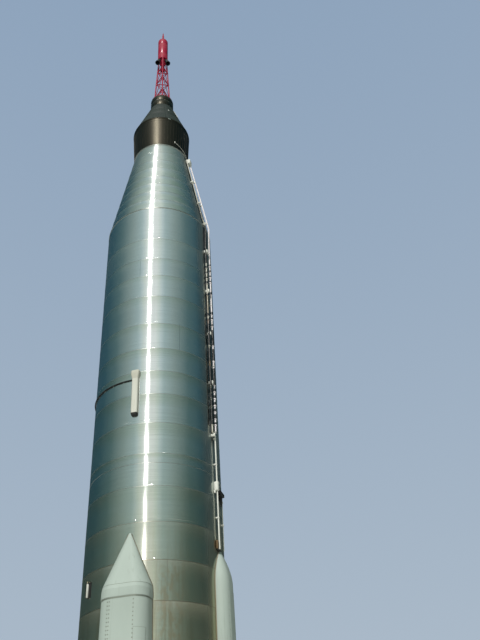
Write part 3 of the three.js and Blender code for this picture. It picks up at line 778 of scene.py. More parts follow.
def dressed(node, name, width):
    """A finished copy of a CAD node: doubles merged, flat triangles joined, edges broken."""
    piece = frame["nodes"][node].copy()
    piece.data = piece.data.copy()
    piece.name = name
    piece.parent = None
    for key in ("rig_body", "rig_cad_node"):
        del piece[key]
    scene.collection.objects.link(piece)
    edit(piece)
    bpy.ops.mesh.select_all(action="SELECT")
    bpy.ops.mesh.remove_doubles(threshold=1e-5)
    bpy.ops.mesh.dissolve_limited(angle_limit=math.radians(0.6))
    bpy.ops.mesh.select_all(action="SELECT")
    bpy.ops.mesh.normals_make_consistent(inside=False)
    leave()
    return bevelled(piece, width)


hatch = dressed("capsule_hatch", "side_hatch", 0.006)
fit(hatch, dark_shingle, replaces=["capsule_hatch"])
HATCH_AZIMUTH, HATCH_HEIGHT = 150, 2.12
BOLT_ACROSS, BOLT_ALONG = 0.25, 0.29
cone_tilt = math.degrees(math.atan(cone_slope))


def on_capsule(azimuth, height, across, along, lift):
    """Matrix of a point on a flat plate let into the cone, from the plate's middle."""
    flat = Matrix.Rotation(math.radians(90), 4, "X")
    lean = Matrix.Rotation(-math.radians(cone_tilt), 4, "X")
    middle = Vector((0, -capsule_radius(height), TOP + height))
    local = Matrix.Translation((across, -lift, along))
    return about_axis(azimuth) @ Matrix.Translation(middle) @ lean @ local @ flat


hatch_spots = []
for side in (-1, 1):
    hatch_spots += [(BOLT_ACROSS * (2 * i / 7 - 1), side * BOLT_ALONG) for i in range(8)]
    hatch_spots += [(side * BOLT_ACROSS, BOLT_ALONG * (i / 4 - 1)) for i in range(1, 8)]
places = [on_capsule(HATCH_AZIMUTH, HATCH_HEIGHT, *spot, 0.013) for spot in hatch_spots]
fit(spread("hatch_bolts", bolt(0.022, 0.009), places), weld_steel)

window_pane = worn_finish(
    "window_pane", (None, 6.0, 2.0), (0.006, 0.010, 0.014), (0.014, 0.020, 0.024), 0.04, 0.08,
    coat_weight=0.6, coat_roughness=0.03,
)
window = dressed("capsule_window", "window_unit", 0.005)
out = polar(215, 1, math.sin(math.radians(cone_tilt))).normalized()
edit(window)
select_faces(window, lambda p, n: n.dot(out) > 0.95)
bpy.ops.mesh.inset(thickness=0.028, depth=-0.008)
leave()
fit(window, dark_shingle, replaces=["capsule_window"])
window.data.materials.append(window_pane)
for face in window.data.polygons:
    face.material_index = 1 if face.select else 0

# Small pale fittings on the capsule: a yaw thruster port, its twin and a bright rail that
# runs up the right side.
pale_metal = worn_finish(
    "pale_metal", (None, 12.0, 3.0), (0.66, 0.66, 0.62), (0.46, 0.46, 0.43), 0.40, 0.2,
    metallic=0.3,
)
fittings = [
    block("port_block", (0.045, 0.075, 0.02), on_capsule(azimuth, 2.27, 0.0, 0.0, 0.012))
    for azimuth in (40, 220)
]
fittings.append(block("rail_block", (0.014, 0.50, 0.016), on_capsule(78, 2.51, 0.0, 0.0, 0.011)))
fit(joined("capsule_fittings", fittings), pale_metal)

# Recovery section: a short drum over the capsule's neck in dark beryllium-grey panels, two
# courses of eight, screwed along their edges.
PANEL_COURSES = [2.975, 3.23, 3.475]
recovery_rows = [(0.0, 2.9503), (0.400, 2.9503), *((0.400, h) for h in PANEL_COURSES)]
recovery = stacked("recovery_drum", recovery_rows + [(0.394, 3.5), (0.0, 3.5)], 96)
panelled(recovery, 96, 8, PANEL_COURSES, TOP, 0.003)
fit(recovery, dark_drum, replaces=["recovery_section"])
places = []
for i in range(8):
    for across in (-19, -9.5, 0, 9.5, 19):
        azimuth = i * 45 + across + 67.5
        places += [outward(azimuth, 0.402, TOP + h) for h in (2.99, 3.215, 3.245, 3.46)]
fit(spread("recovery_screws", rivet(0.012, 0.004), places), weld_steel)


# Escape tower: a three-legged truss of welded steel tube under gloss red paint, its feet
# bolted to a base ring, with crossed braces in each bay.
def rod(start, end, radius, sides=16):
    """A straight round bar between two points."""
    along = end - start
    bpy.ops.object.select_all(action="DESELECT")
    bpy.ops.mesh.primitive_cylinder_add(
        vertices=sides, radius=radius, depth=along.length, calc_uvs=False,
    )
    piece = bpy.context.object
    lean = along.to_track_quat("Z", "Y").to_matrix().to_4x4()
    piece.data.transform(Matrix.Translation((start + end) / 2) @ lean)
    return piece


paint = new_paint("gloss_red")
place = paint.place()
fade = paint.noise(place, 5.0, 3.0)
drips = paint.noise(paint.stretched(place, (30.0, 30.0, 2.0)), 1.0, 2.0)
gloss_red = paint.surface({
    "Base Color": paint.mix(fade, (0.34, 0.002, 0.030), (0.42, 0.004, 0.046)),
    "Roughness": 0.23 + 0.10 * drips,
    "Normal": paint.bump(drips, 0.0008),
})
base_ring = stacked("tower_ring", [
    (0.0, 3.5003), (0.378, 3.5003), (0.385, 3.506), (0.385, 3.538), (0.378, 3.5447),
    (0.30, 3.5447), (0.29, 3.535), (0.0, 3.535),
], 96)
fit(base_ring, gloss_red, replaces=["tower_base_ring"])

TOWER_AZIMUTH = 20
TOWER_FOOT, TOWER_HEAD = (0.340, 3.545), (0.178, 6.29)
tower_levels = [TOWER_FOOT[1], 4.03, 4.91, 5.64, 6.278]


def tower_node(level, leg):
    """Point where the braces meet a leg."""
    height = tower_levels[level]
    share = (height - TOWER_FOOT[1]) / (TOWER_HEAD[1] - TOWER_FOOT[1])
    radius = TOWER_FOOT[0] + share * (TOWER_HEAD[0] - TOWER_FOOT[0])
    return polar(TOWER_AZIMUTH + 120 * leg, radius, TOP + height)


def sleeve(centre, radius):
    """A round joint where braces meet."""
    bpy.ops.object.select_all(action="DESELECT")
    bpy.ops.mesh.primitive_uv_sphere_add(segments=16, ring_count=8, radius=radius, calc_uvs=False)
    piece = bpy.context.object
    piece.data.transform(Matrix.Translation(centre))
    return piece


bars = []
for leg in range(3):
    foot = tower_node(0, leg)
    bars.append(rod(foot, tower_node(4, leg), 0.024))
    bars.append(rod(foot, foot + Vector((0, 0, 0.03)), 0.045, 24))
    for level in range(4):
        bars.append(rod(tower_node(level, leg), tower_node(level + 1, leg + 1), 0.012, 10))
        bars.append(rod(tower_node(level, leg + 1), tower_node(level + 1, leg), 0.012, 10))
    for level in (1, 2, 3):
        bars.append(rod(tower_node(level, leg), tower_node(level, leg + 1), 0.018, 12))
        bars.append(sleeve(tower_node(level, leg), 0.031))
fit(joined("tower_truss", bars), gloss_red, replaces=["tower_lattice"])
places = []
for leg in range(3):
    for side in (-1, 1):
        azimuth = TOWER_AZIMUTH + 120 * leg + side * 11.5
        places.append(Matrix.Translation(polar(azimuth, TOWER_FOOT[0], TOP + 3.5447)))
fit(spread("tower_bolts", bolt(0.028, 0.014), places), weld_steel)

# Escape motor: a red steel tube on the tower's head, with a bolted aft end that carries three
# canted black nozzles, a domed cap and a thin nose spike.
motor_table = [
    ("motor_aft", "escape_motor_base", 96, [
        (0.0, 6.06), (0.066, 6.06), (0.072, 6.066), (0.128, 6.2783), (0.194, 6.2783),
        (0.198, 6.283), (0.198, 6.323), (0.193, 6.33), (0.0, 6.33),
    ]),
    ("motor_tube", "escape_motor", 96, [
        (0.0, 6.3303), (0.187, 6.3303), (0.187, 6.372), (0.190, 6.376), (0.190, 6.60),
        (0.1885, 6.604), (0.1885, 6.63), (0.190, 6.634), (0.190, 7.30), (0.1885, 7.304),
        (0.1885, 7.33), (0.190, 7.334), (0.190, 7.592), (0.187, 7.6), (0.0, 7.6),
    ]),
    ("motor_cap", "escape_motor_cap", 96, [
        (0.0, 7.6003), (0.180, 7.6003), (0.184, 7.606), (0.180, 7.624), (0.168, 7.643),
        (0.145, 7.66), (0.110, 7.676), (0.062, 7.69), (0.0, 7.69),
    ]),
    ("spike", "nose_spike", 32, [
        (0.0, 7.6903), (0.042, 7.6903), (0.042, 7.72), (0.036, 7.73), (0.036, 8.10),
        (0.030, 8.13), (0.016, 8.27), (0.009, 8.31), (0.0, 8.32),
    ]),
]
for name, node, sides, rows in motor_table:
    fit(stacked(name, rows, sides), gloss_red, replaces=[node])
places = [Matrix.Translation(polar(i * 20, 0.1915, TOP + 6.3295)) for i in range(18)]
places += level_row(18, 0.1865, TOP + 6.35)
fit(spread("motor_bolts", bolt(0.014, 0.006), places), gloss_red)

sooty_black = worn_finish(
    "sooty_black", (None, 14.0, 3.0), (0.010, 0.010, 0.012), (0.030, 0.028, 0.028),
    0.45, 0.25, 0.0012, metallic=0.2,
)
nozzle = turned("nozzle", [
    (0.0, 0.04), (0.055, 0.04), (0.055, 0.0), (0.092, -0.302), (0.092, -0.31), (0.084, -0.31),
    (0.080, -0.295), (0.045, -0.03), (0.040, -0.01), (0.0, -0.01),
], 48)
cant = Matrix.Translation((0, -0.132, TOP + 6.27)) @ Matrix.Rotation(-math.radians(19), 4, "X")
for i in range(3):
    turn_to = about_axis(TOWER_AZIMUTH + 60 + 120 * i)
    piece = placed(nozzle, f"motor_nozzle_{i + 1}", turn_to @ cant)
    fit(smooth(piece), sooty_black, replaces=[f"escape_nozzle_{i + 1}"])
bpy.data.objects.remove(nozzle)


# Booster nacelles: riveted sheet-metal housings for the outer engines, painted pale grey-green.
# A pyramid top leans on the tank, and a raised collar joins it to the body that swells below.
def pad_section(row, inner):
    """One cross-section of a housing: a plane whose two outer corners are rounded."""
    inches, half, off, corner = row
    deep = TANK_RADIUS + off - inner
    middle = -inner - deep / 2
    bpy.ops.object.select_all(action="DESELECT")
    bpy.ops.mesh.primitive_plane_add(size=2, calc_uvs=False)
    piece = bpy.context.object
    piece.data.transform(Matrix.Diagonal((half, deep / 2, 1, 1)))
    piece.data.transform(Matrix.Translation((0, middle, station(inches))))
    bpy.ops.object.mode_set(mode="EDIT")
    select_points(piece, lambda p: p.y < middle)
    bpy.ops.mesh.bevel(offset=corner, segments=12, affect="VERTICES")
    bpy.ops.mesh.select_all(action="SELECT")
    bpy.ops.mesh.delete(type="ONLY_FACE")
    leave()
    return piece


def pad_loft(name, rows, inner):
    """A rounded block by the tank: rows of (station, half width, stand-off, corner)."""
    sections = [pad_section(row, inner) for row in rows]
    pick(sections[0])
    for section in sections:
        section.select_set(True)
    bpy.ops.object.join()
    piece = sections[0]
    piece.name = name
    heights = [station(row[0]) for row in rows]
    bpy.ops.object.mode_set(mode="EDIT")
    for pair in zip(heights, heights[1:]):
        select_points(piece, lambda p: min(abs(p.z - pair[0]), abs(p.z - pair[1])) < 1e-4)
        bpy.ops.mesh.bridge_edge_loops()
    for height in (heights[0], heights[-1]):
        select_points(piece, lambda p: abs(p.z - height) < 1e-4)
        bpy.ops.mesh.edge_face_add()
    bpy.ops.mesh.select_all(action="SELECT")
    bpy.ops.mesh.normals_make_consistent(inside=False)
    leave()
    return piece


def carved(piece, *cutters):
    """Cuts other shapes away; the cutters are used up."""
    for cutter in cutters:
        hole = piece.modifiers.new("hole", "BOOLEAN")
        hole.operation = "DIFFERENCE"
        hole.solver = "EXACT"
        hole.object = cutter
        pick(piece)
        bpy.ops.object.modifier_apply(modifier=hole.name)
        bpy.data.objects.remove(cutter)
    return piece


def off_tank(piece, *cutters):
    """Cuts the tank's round out of a housing, and then any other shapes."""
    reach = TANK_RADIUS + 0.0003
    core = turned("core", [(0.0, -0.5), (reach, -0.5), (reach, 16.2), (0.0, 16.2)], TANK_SIDES)
    return carved(piece, core, *cutters)


def pale_finish(name, first, second):
    """Chalky paint over sheet metal, with dark runs and fine flecks."""
    paint = new_paint(name)
    place = paint.place()
    chalk = paint.noise(paint.stretched(place, (1.5, 1.5, 0.7)), 2.2, 4.0)
    runs = paint.noise(paint.stretched(place, (18.0, 18.0, 0.8)), 1.0, 3.0)
    fleck = paint.noise(place, 60.0, 2.0)
    colour = paint.mix(chalk, first, second)
    colour = paint.mix(paint.step(runs, 0.60, 0.78) * 0.22, colour, (0.20, 0.22, 0.17))
    return paint.surface({
        "Base Color": colour,
        "Roughness": 0.50 + 0.14 * chalk,
        "Normal": paint.bump(chalk + fleck * 0.06, 0.003),
    })


# Dark metal for screw heads, the collar's dark strips and the plates' gaskets; on the screw heads
# its darkness is painted shade that stands for the shadows round the fasteners.
dull_screw = worn_finish(
    "dull_screw", (None, 30.0, 2.0), (0.22, 0.24, 0.20), (0.33, 0.35, 0.30), 0.45, 0.2,
    metallic=0.6,
)
pale_green = pale_finish("pale_green", (0.385, 0.44, 0.395), (0.44, 0.50, 0.455))
WELL_TOP = 1.6432
BOOSTER_OFFSET = 1.72
WELLS = [(0.54, 0.0), (0.58, -BOOSTER_OFFSET), (0.58, BOOSTER_OFFSET)]
HOUSING_BACK = 1.374
THIN_BACK = 1.45


def engine_well(radius, y):
    """The hollow that an engine hangs in, as a cutter."""
    rows = [(0.0, -0.06), (radius, -0.06), (radius, 0.1), (0.42, WELL_TOP), (0.0, WELL_TOP)]
    return turned("well", rows, 96, (0.0, y))


nacelle_rows = [
    # station, half width, stand-off, corner radius
    (1268, 0.690, 0.916, 0.220), (1234, 0.660, 0.836, 0.236), (1200, 0.630, 0.740, 0.250),
    (1182, 0.598, 0.648, 0.266), (1166, 0.565, 0.560, 0.280), (1148, 0.530, 0.472, 0.292),
    (1133, 0.507, 0.411, 0.300), (1116, 0.493, 0.386, 0.300), (1100, 0.486, 0.376, 0.300),
    (1073, 0.482, 0.370, 0.300), (1072.6, 0.490, 0.378, 0.304), (1066.4, 0.4865, 0.3725, 0.300),
    (1066, 0.484, 0.368, 0.298), (1063, 0.479, 0.346, 0.292), (1062.4, 0.4715, 0.341, 0.288),
    (1020, 0.022, 0.0, 0.016),
]
nacelle = pad_loft("nacelle", nacelle_rows, HOUSING_BACK)
off_tank(nacelle, engine_well(*WELLS[1]))
bevelled(nacelle, 0.006)
smooth(nacelle, 12)
half_turn = about_axis(180)
rear = placed(nacelle, "nacelle_shell_rear", half_turn)
nacelle.name = "nacelle_shell_front"


def with_rear(parts):
    """The front nacelle's parts and their copies on the rear one."""
    return parts + [placed(part, part.name, half_turn) for part in parts]


# Painted shade: the lower dark strip, under the collar's ledge, stands for the ledge's shadow
# line; the upper one is a dark joint at the fold under the pyramid top.
seams = []
shade_and_joint_strip_table = [(1073.9, 1072.9, 0.4855, 0.3735, 0.301), (1063.5, 1063.25, 0.4815, 0.3500, 0.294)]
for aft, forward, *section in shade_and_joint_strip_table:
    rows = [(aft, *section), (forward, *section)]
    seams.append(off_tank(pad_loft("seam", rows, THIN_BACK)))
seams = with_rear(seams)
fit(nacelle, pale_green, replaces=["booster_nacelle_front"])
fit(rear, pale_green, replaces=["booster_nacelle_rear"])


PROBE_START = -4


def on_face(surface, x, z):
    """Matrix of a fastener at x and z on a piece's front, found by a straight probe."""
    hit, point, normal, _ = surface.ray_cast(Vector((x, PROBE_START, z)), Vector((0, 1, 0)))
    stand_up = normal.to_track_quat("Z", "Y").to_matrix().to_4x4()
    return Matrix.Translation(point) @ stand_up if hit else None


def nacelle_fasteners():
    """Matrices of the rivets: three upright columns and two level rows."""
    head = station(1076)
    spots = []
    for x, pitch in [(-0.252, 0.072), (-0.212, 0.072), (0.258, 0.075)]:
        spots += [(x, head - i * pitch) for i in range(int((head - 0.2) / pitch))]
    for inches in (1133, 1200):
        spots += [(i * 0.052, station(inches)) for i in range(-7, 8)]
    found = [on_face(nacelle, x, z) for x, z in spots]
    return [matrix for matrix in found if matrix]


places = nacelle_fasteners()
places += [half_turn @ matrix for matrix in places]
fit(spread("nacelle_screws", rivet(0.026, 0.005), places), dull_screw)
fit(joined("nacelle_seams", seams), dull_screw)


def sheet_patch(name, surface, x_range, z_range, thick):
    """A thin plate laid on a piece's front: a fine grid pressed against it, then thickened."""
    (x0, x1), (z0, z1) = x_range, z_range
    bpy.ops.object.select_all(action="DESELECT")
    bpy.ops.mesh.primitive_grid_add(x_subdivisions=24, y_subdivisions=12, size=1, calc_uvs=False)
    patch = bpy.context.object
    patch.name = name
    flat = Matrix.Diagonal((x1 - x0, 1, z1 - z0, 1)) @ Matrix.Rotation(math.radians(90), 4, "X")
    middle = ((x0 + x1) / 2, PROBE_START, (z0 + z1) / 2)
    patch.data.transform(Matrix.Translation(middle) @ flat)
    wrap = patch.modifiers.new("press", "SHRINKWRAP")
    wrap.target = surface
    wrap.wrap_method = "PROJECT"
    wrap.use_project_x = False
    wrap.use_project_y = True
    wrap.use_project_z = False
    wrap.use_positive_direction = True
    wrap.use_negative_direction = True
    wrap.offset = 0.001
    wall = patch.modifiers.new("thick", "SOLIDIFY")
    wall.thickness = thick
    wall.offset = 1.0
    pick(patch)
    for modifier in [wrap.name, wall.name]:
        bpy.ops.object.modifier_apply(modifier=modifier)
    return bevelled(patch, thick * 0.3, 1)


patches = [
    ((0.272, 0.455), (station(1129), station(1095.5))),
    ((-0.19, 0.235), (station(1195), station(1137))),
    ((-0.42, 0.42), (station(1262), station(1206))),
]
plates = [sheet_patch("access_plate", nacelle, xs, zs, 0.005) for xs, zs in patches]
fit(joined("nacelle_plates", with_rear(plates)), pale_green)
gaskets = []
for (x0, x1), (z0, z1) in patches:
    wider, taller = (x0 - 0.004, x1 + 0.004), (z0 - 0.006, z1 + 0.006)
    gaskets.append(sheet_patch("gasket", nacelle, wider, taller, 0.002))
fit(joined("nacelle_gaskets", with_rear(gaskets)), dull_screw)


def pipe(name, points, radius, sides=12):
    """A smooth tube along points, whose radius may change from point to point."""
    line = bpy.data.curves.new(name, "CURVE")
    line.dimensions = "3D"
    line.bevel_depth = 1.0
    line.bevel_resolution = max(1, sides // 4 - 1)
    line.use_fill_caps = True
    path = line.splines.new("POLY")
    path.points.add(len(points) - 1)
    for spot, point in zip(path.points, points):
        spot.co = (*point[0:3], 1.0)
        spot.radius = point[3] if len(point) > 3 else radius
    piece = bpy.data.objects.new(name, line)
    scene.collection.objects.link(piece)
    pick(piece)
    bpy.ops.object.convert(target="MESH")
    piece = bpy.context.object
    bpy.ops.object.mode_set(mode="EDIT")
    closed(1e-6)
    return smooth(piece, 40)


def edge_points(rows, side, first, last):
    """Points where a housing's side meets the tank's skin, from one station to another."""
    table = sorted(rows)
    points = []
    for i in range(41):
        s = first + (last - first) * i / 40
        for (s0, half0, *_), (s1, half1, *_) in zip(table, table[1:]):
            if s0 <= s <= s1:
                half = half0 + (half1 - half0) * (s - s0) / (s1 - s0)
        x = half + 0.004
        points.append((side * x, -math.sqrt((TANK_RADIUS + 0.004) ** 2 - x * x), station(s)))
    return points


edges = [
    pipe("edge_strip", edge_points(nacelle_rows, side, 1021, 1132), 0.009) for side in (-1, 1)
]
fit(joined("nacelle_edge_strips", with_rear(edges)), weld_steel)

# Booster skirt: the drum between the nacelles, open below for the engines, in duller rolled
# steel with hat ribs, a joint ring at its head and a row of rivets at head and foot.
skirt_steel = worn_finish(
    "skirt_steel", ((9.0, 9.0, 0.5), 1.2, 4.0), (0.46, 0.49, 0.47), (0.62, 0.63, 0.59),
    0.42, 0.14, 0.0015, metallic=1.0, anisotropic=0.6, anisotropic_rotation=0.25,
)
SKIRT_COLUMNS = 180
SKIRT_FOOT, SKIRT_HEAD = 0.1016, station(JOINT_STATION) - 0.0003
RIB_FOOT, RIB_HEAD = 0.20, 3.42
skirt_heights = (SKIRT_FOOT, RIB_FOOT, RIB_HEAD, SKIRT_HEAD)
skirt_rows = [(TANK_RADIUS, h) for h in skirt_heights]
skirt_rows = [(0.0, SKIRT_FOOT), *skirt_rows, (0.0, SKIRT_HEAD)]
skirt = turned("skirt_drum", skirt_rows, SKIRT_COLUMNS)


def on_hat_rib(point, normal):
    upright = RIB_FOOT < point.z < RIB_HEAD and abs(normal.z) < 0.5
    return upright and column_of(point, SKIRT_COLUMNS) % 5 == 2


raised(skirt, on_hat_rib, 0.012)
carved(skirt, *[engine_well(radius, y) for radius, y in WELLS])
fit(smooth(skirt), skirt_steel, replaces=["booster_skirt"])
fit(hoop("joint_ring", JOINT_STATION + 2, 0.06, 0.012), weld_steel)
places = level_row(120, 1.5235, 3.46) + level_row(120, 1.5235, 0.15)
fit(spread("skirt_rivets", rivet(0.016, 0.005), places), skirt_steel)

# Heat shield and pads: a stiff grey fibre board across the foot, edged and bolted, with round
# holes for the engines, and four steel pads that the launcher holds.
paint = new_paint("shield_board")
place = paint.place()
scorch = paint.noise(place, 1.6, 5.0, 0.6)
weave = paint.noise(place, 90.0, 2.0)
singed = paint.step(scorch, 0.4, 0.7)
shield_board = paint.surface({
    "Base Color": paint.mix(singed, (0.27, 0.26, 0.235), (0.14, 0.125, 0.105)),
    "Roughness": 0.62 + 0.2 * scorch,
    "Normal": paint.bump(weave * 0.3 + scorch, 0.0015),
})
board = dressed("heat_shield", "shield_plate", 0.006)
fit(board, shield_board, replaces=["heat_shield"])
collar_section = [
    (0.002, 0.06), (0.002, 0.046), (0.012, 0.040), (0.05, 0.046), (0.05, 0.06), (0.002, 0.06),
]
collars = []
for radius, y in WELLS:
    rows = [(radius + out, height) for out, height in collar_section]
    collars.append(turned("collar", rows, 96, (0.0, y)))

paint = new_paint("engine_metal")
place = paint.place()
z = paint.split(place)[2]
heat = paint.noise(paint.stretched(place, (2.0, 2.0, 5.0)), 1.5, 4.0)
blued = paint.step(z, 0.2, -0.9) * (0.55 + 0.5 * heat)
metal = paint.mix(heat, (0.30, 0.28, 0.25), (0.44, 0.42, 0.38))
engine_metal = paint.surface({
    "Base Color": paint.mix(blued, metal, (0.23, 0.16, 0.115)),
    "Metallic": 0.9,
    "Roughness": 0.34 + 0.2 * heat,
    "Normal": paint.bump(heat, 0.002),
})
fit(joined("shield_collars", collars), engine_metal)
places = []
flip = Matrix.Rotation(math.pi, 4, "X")
for radius, y in WELLS:
    for i in range(24):
        spot = polar(i * 15, radius + 0.031, 0.0445) + Vector((0, y, 0))
        places.append(Matrix.Translation(spot) @ flip)
fit(spread("shield_bolts", bolt(0.02, 0.009), places), engine_metal)
for i in range(1, 5):
    pad = dressed(f"hold_down_pad_{i}", f"launcher_pad_{i}", 0.006)
    fit(pad, engine_metal, replaces=[f"hold_down_pad_{i}"])

# Engines: each hangs in a gimbal, a fixed fork, a cross of two pins and ears on the engine's
# head. The bell is brazed from upright tubes, held by steel hoops, with a fuel ring near its lip.
GIMBAL_Z = station(1214)
BELL_DEPTH = GIMBAL_Z - station(1310)
THROAT_DEPTH = 0.35 * BELL_DEPTH
CHAMBER_DEPTH, NECK_DEPTH = 0.62 * THROAT_DEPTH, 0.82 * THROAT_DEPTH
FLARE_POWER = 0.72
FLARE_STEPS = 14


def flare(throat, exit_radius, share):
    """The bell's outside, radius and height, at a share of the way from throat to lip."""
    radius = throat + (exit_radius - throat) * share ** FLARE_POWER
    return radius, -(THROAT_DEPTH + (BELL_DEPTH - THROAT_DEPTH) * share)


def bell_rows(chamber, throat, exit_radius, wall):
    """Rows of a bell, down its outside from the head to the lip and back up its inside."""
    rows = [
        (0.0, -0.110), (0.165, -0.110), (0.170, -0.116), (0.170, -0.160),
        (chamber - 0.03, -0.190), (chamber - 0.008, -0.205), (chamber, -0.240),
        (chamber, -CHAMBER_DEPTH), (throat + 0.55 * (chamber - throat), -NECK_DEPTH),
        (throat, -THROAT_DEPTH),
    ]
    inside = []
    for i in range(1, FLARE_STEPS + 1):
        share = i / FLARE_STEPS
        radius, height = flare(throat, exit_radius, share)
        rows.append((radius, height))
        inside.insert(0, (radius - wall * (1 - 0.4 * share), height))
    return rows + inside + [(0.0, inside[-1][1])]


def narrowed(piece, wanted, scale):
    """Brings the wanted points nearer to the axis."""
    edit(piece)
    select_points(piece, wanted)
    bpy.ops.transform.resize(value=(scale, scale, 1), center_override=(0, 0, 0))
    leave()


def ear(side):
    """One side of the fork on the engine's head, with a round boss at the pin."""
    cheek = block("ear", (0.10, 0.056, 0.12), Matrix.Translation((0, side * 0.100, -0.055)), 0.006)
    boss = rod(Vector((0, side * 0.073, 0)), Vector((0, side * 0.127, 0)), 0.048, 32)
    pin_hole = rod(Vector((0, side * 0.05, 0)), Vector((0, side * 0.15, 0)), 0.0232, 32)
    return carved(joined("ear", [cheek, boss]), pin_hole)


BELL_TUBES = 144
hoop_section = [
    (-0.006, -0.014), (0.008, -0.014), (0.006, 0.014), (-0.012, 0.014), (-0.006, -0.014),
]


def between_tubes(point):
    """Whether a point of the bell lies in a groove between two of its tubes."""
    column = round(math.atan2(point.y, point.x) / math.tau * BELL_TUBES)
    return column % 2 == 1 and point.z < -0.95 and point.xy.length > 0.15


def thrust_chamber(name, chamber, throat, exit_radius, wall):
    """A bell with its hoops, its two round manifolds, its feed pipes and its ears."""
    bell = turned(name, bell_rows(chamber, throat, exit_radius, wall), BELL_TUBES)
    narrowed(bell, between_tubes, 0.988)
    parts = [smooth(bell, 60)]
    for share in (0.18, 0.36, 0.54, 0.70, 0.84, 0.985):
        radius, height = flare(throat, exit_radius, share)
        parts.append(turned("hoop", [(radius + r, height + h) for r, h in hoop_section], 96))
    ring_radius, ring_height = flare(throat, exit_radius, 0.92)
    manifolds = [(ring_radius + 0.012, ring_height, 0.024), (chamber + 0.02, -0.27, 0.034)]
    for radius, height, thick in manifolds:
        bpy.ops.object.select_all(action="DESELECT")
        bpy.ops.mesh.primitive_torus_add(
            major_segments=96, minor_segments=14, major_radius=radius, minor_radius=thick,
            location=(0, 0, height), generate_uvs=False,
        )
        parts.append(smooth(bpy.context.object))
    run = [
        (chamber + 0.010, -0.27), (chamber + 0.010, -CHAMBER_DEPTH),
        (throat + 0.6 * (chamber - throat) + 0.012, -NECK_DEPTH), (throat + 0.012, -THROAT_DEPTH),
    ]
    for share in (0.06, 0.15, 0.3, 0.45, 0.6, 0.75, 0.92):
        radius, height = flare(throat, exit_radius, share)
        run.append((radius + 0.009, height))
    for azimuth in (30, 210):
        parts.append(pipe("feed", [polar(azimuth, r, z) for r, z in run], 0.012))
    return joined(name, parts + [ear(-1), ear(1)])


outer_engine = thrust_chamber("outer_engine", 0.265, 0.195, 0.56, 0.030)
centre_engine = thrust_chamber("centre_engine_bell", 0.200, 0.130, 0.52, 0.026)
engines = [
    ("front_engine_bell", outer_engine, -BOOSTER_OFFSET, "front_engine", "booster_front_engine"),
    ("rear_engine_bell", outer_engine, BOOSTER_OFFSET, "rear_engine", "booster_rear_engine"),
    ("middle_engine_bell", centre_engine, 0.0, "centre_engine", "sustainer_engine"),
]
for name, template, y, body, node in engines:
    piece = placed(template, name, Matrix.Translation((0, y, GIMBAL_Z)))
    fit(piece, engine_metal, body, [node])
bpy.data.objects.remove(outer_engine)
bpy.data.objects.remove(centre_engine)
gimbals = [
    ("booster_front", "front_gimbal"), ("booster_rear", "rear_gimbal"),
    ("sustainer", "centre_gimbal"),
]
for name, _ in gimbals:
    fork = dressed(f"{name}_gimbal_fork", f"{name}_fork", 0.004)
    fit(fork, engine_metal, "vehicle", [f"{name}_gimbal_fork"])
for name, body in gimbals:
    cross = dressed(f"{name}_gimbal_cross", f"{name}_cross", 0.003)
    fit(cross, engine_metal, body, [f"{name}_gimbal_cross"])
duct_rows = [
    (0.105, 0.0597), (0.105, -0.33), (0.120, -0.33), (0.120, -0.315), (0.1165, -0.311),
    (0.1165, 0.02), (0.120, 0.024), (0.120, 0.0597), (0.105, 0.0597),
]
for i, side in ((1, -1), (2, 1)):
    duct = turned(f"turbine_duct_{i}", duct_rows, 64, (side * 1.08, 0.0))
    fit(duct, engine_metal, replaces=[f"exhaust_duct_{i}"])

# Equipment pods: two bullet-nosed sheet housings on the tank's sides, in the nacelles' paint.
# Each has doors that are riveted along both sides, and a steel strip along its edges.
POD_AZIMUTH = 84
POD_HALF = 0.285
POD_OFF = 0.230
POD_CORNER = 0.205
pod_nose = [
    # inches aft of the tip, share of the stand-off, share of the width
    (3, 0.22, 0.34), (6, 0.37, 0.49), (9, 0.5, 0.62), (13, 0.665, 0.755), (17, 0.79, 0.86),
    (21, 0.895, 0.925), (26, 0.96, 0.97),
]


def pod_rows(tip):
    """Rows of a pod from its foot to its nose, whose tip is at a station."""
    rows = [(1131, POD_HALF, POD_OFF, POD_CORNER)]
    for below, off, wide in reversed(pod_nose):
        if tip + below < 1129:
            rows.append((tip + below, POD_HALF * wide, POD_OFF * off, POD_CORNER * wide))
    return rows + [(tip - 3, 0.0114, -0.0046, 0.008)]


pods = [
    ("pod_shell_right", "equipment_pod_right", POD_AZIMUTH, 1026, [(1124, 1104), (1100, 1060)]),
    ("pod_shell_left", "equipment_pod_left", POD_AZIMUTH - 180, 1093, [(1127, 1122)]),
]
pod_plates = []
pod_places = []
pod_edges = []
for name, node, azimuth, tip, doors in pods:
    shell = bevelled(off_tank(pad_loft(name, pod_rows(tip), HOUSING_BACK)), 0.004)
    turn_to = about_axis(azimuth)
    for aft, forward in doors:
        low, high = station(aft), station(forward)
        plate = sheet_patch("pod_door", shell, (-0.13, 0.13), (low, high), 0.004)
        plate.data.transform(turn_to)
        pod_plates.append(plate)
        for i in range(9):
            z = low + (high - low) * i / 8
            spots = [on_face(shell, x, z) for x in (-0.15, 0.15)]
            pod_places += [turn_to @ spot for spot in spots if spot]
    for side in (-1, 1):
        edge = pipe("edge_strip", edge_points(pod_rows(tip), side, tip, 1130), 0.008)
        edge.data.transform(turn_to)
        pod_edges.append(edge)
    shell.data.transform(turn_to)
    fit(shell, pale_green, replaces=[node])
fit(joined("pod_plates", pod_plates), pale_green)
fit(spread("pod_rivets", rivet(0.013, 0.004), pod_places), dull_screw)
fit(joined("pod_edge_strips", pod_edges), weld_steel)

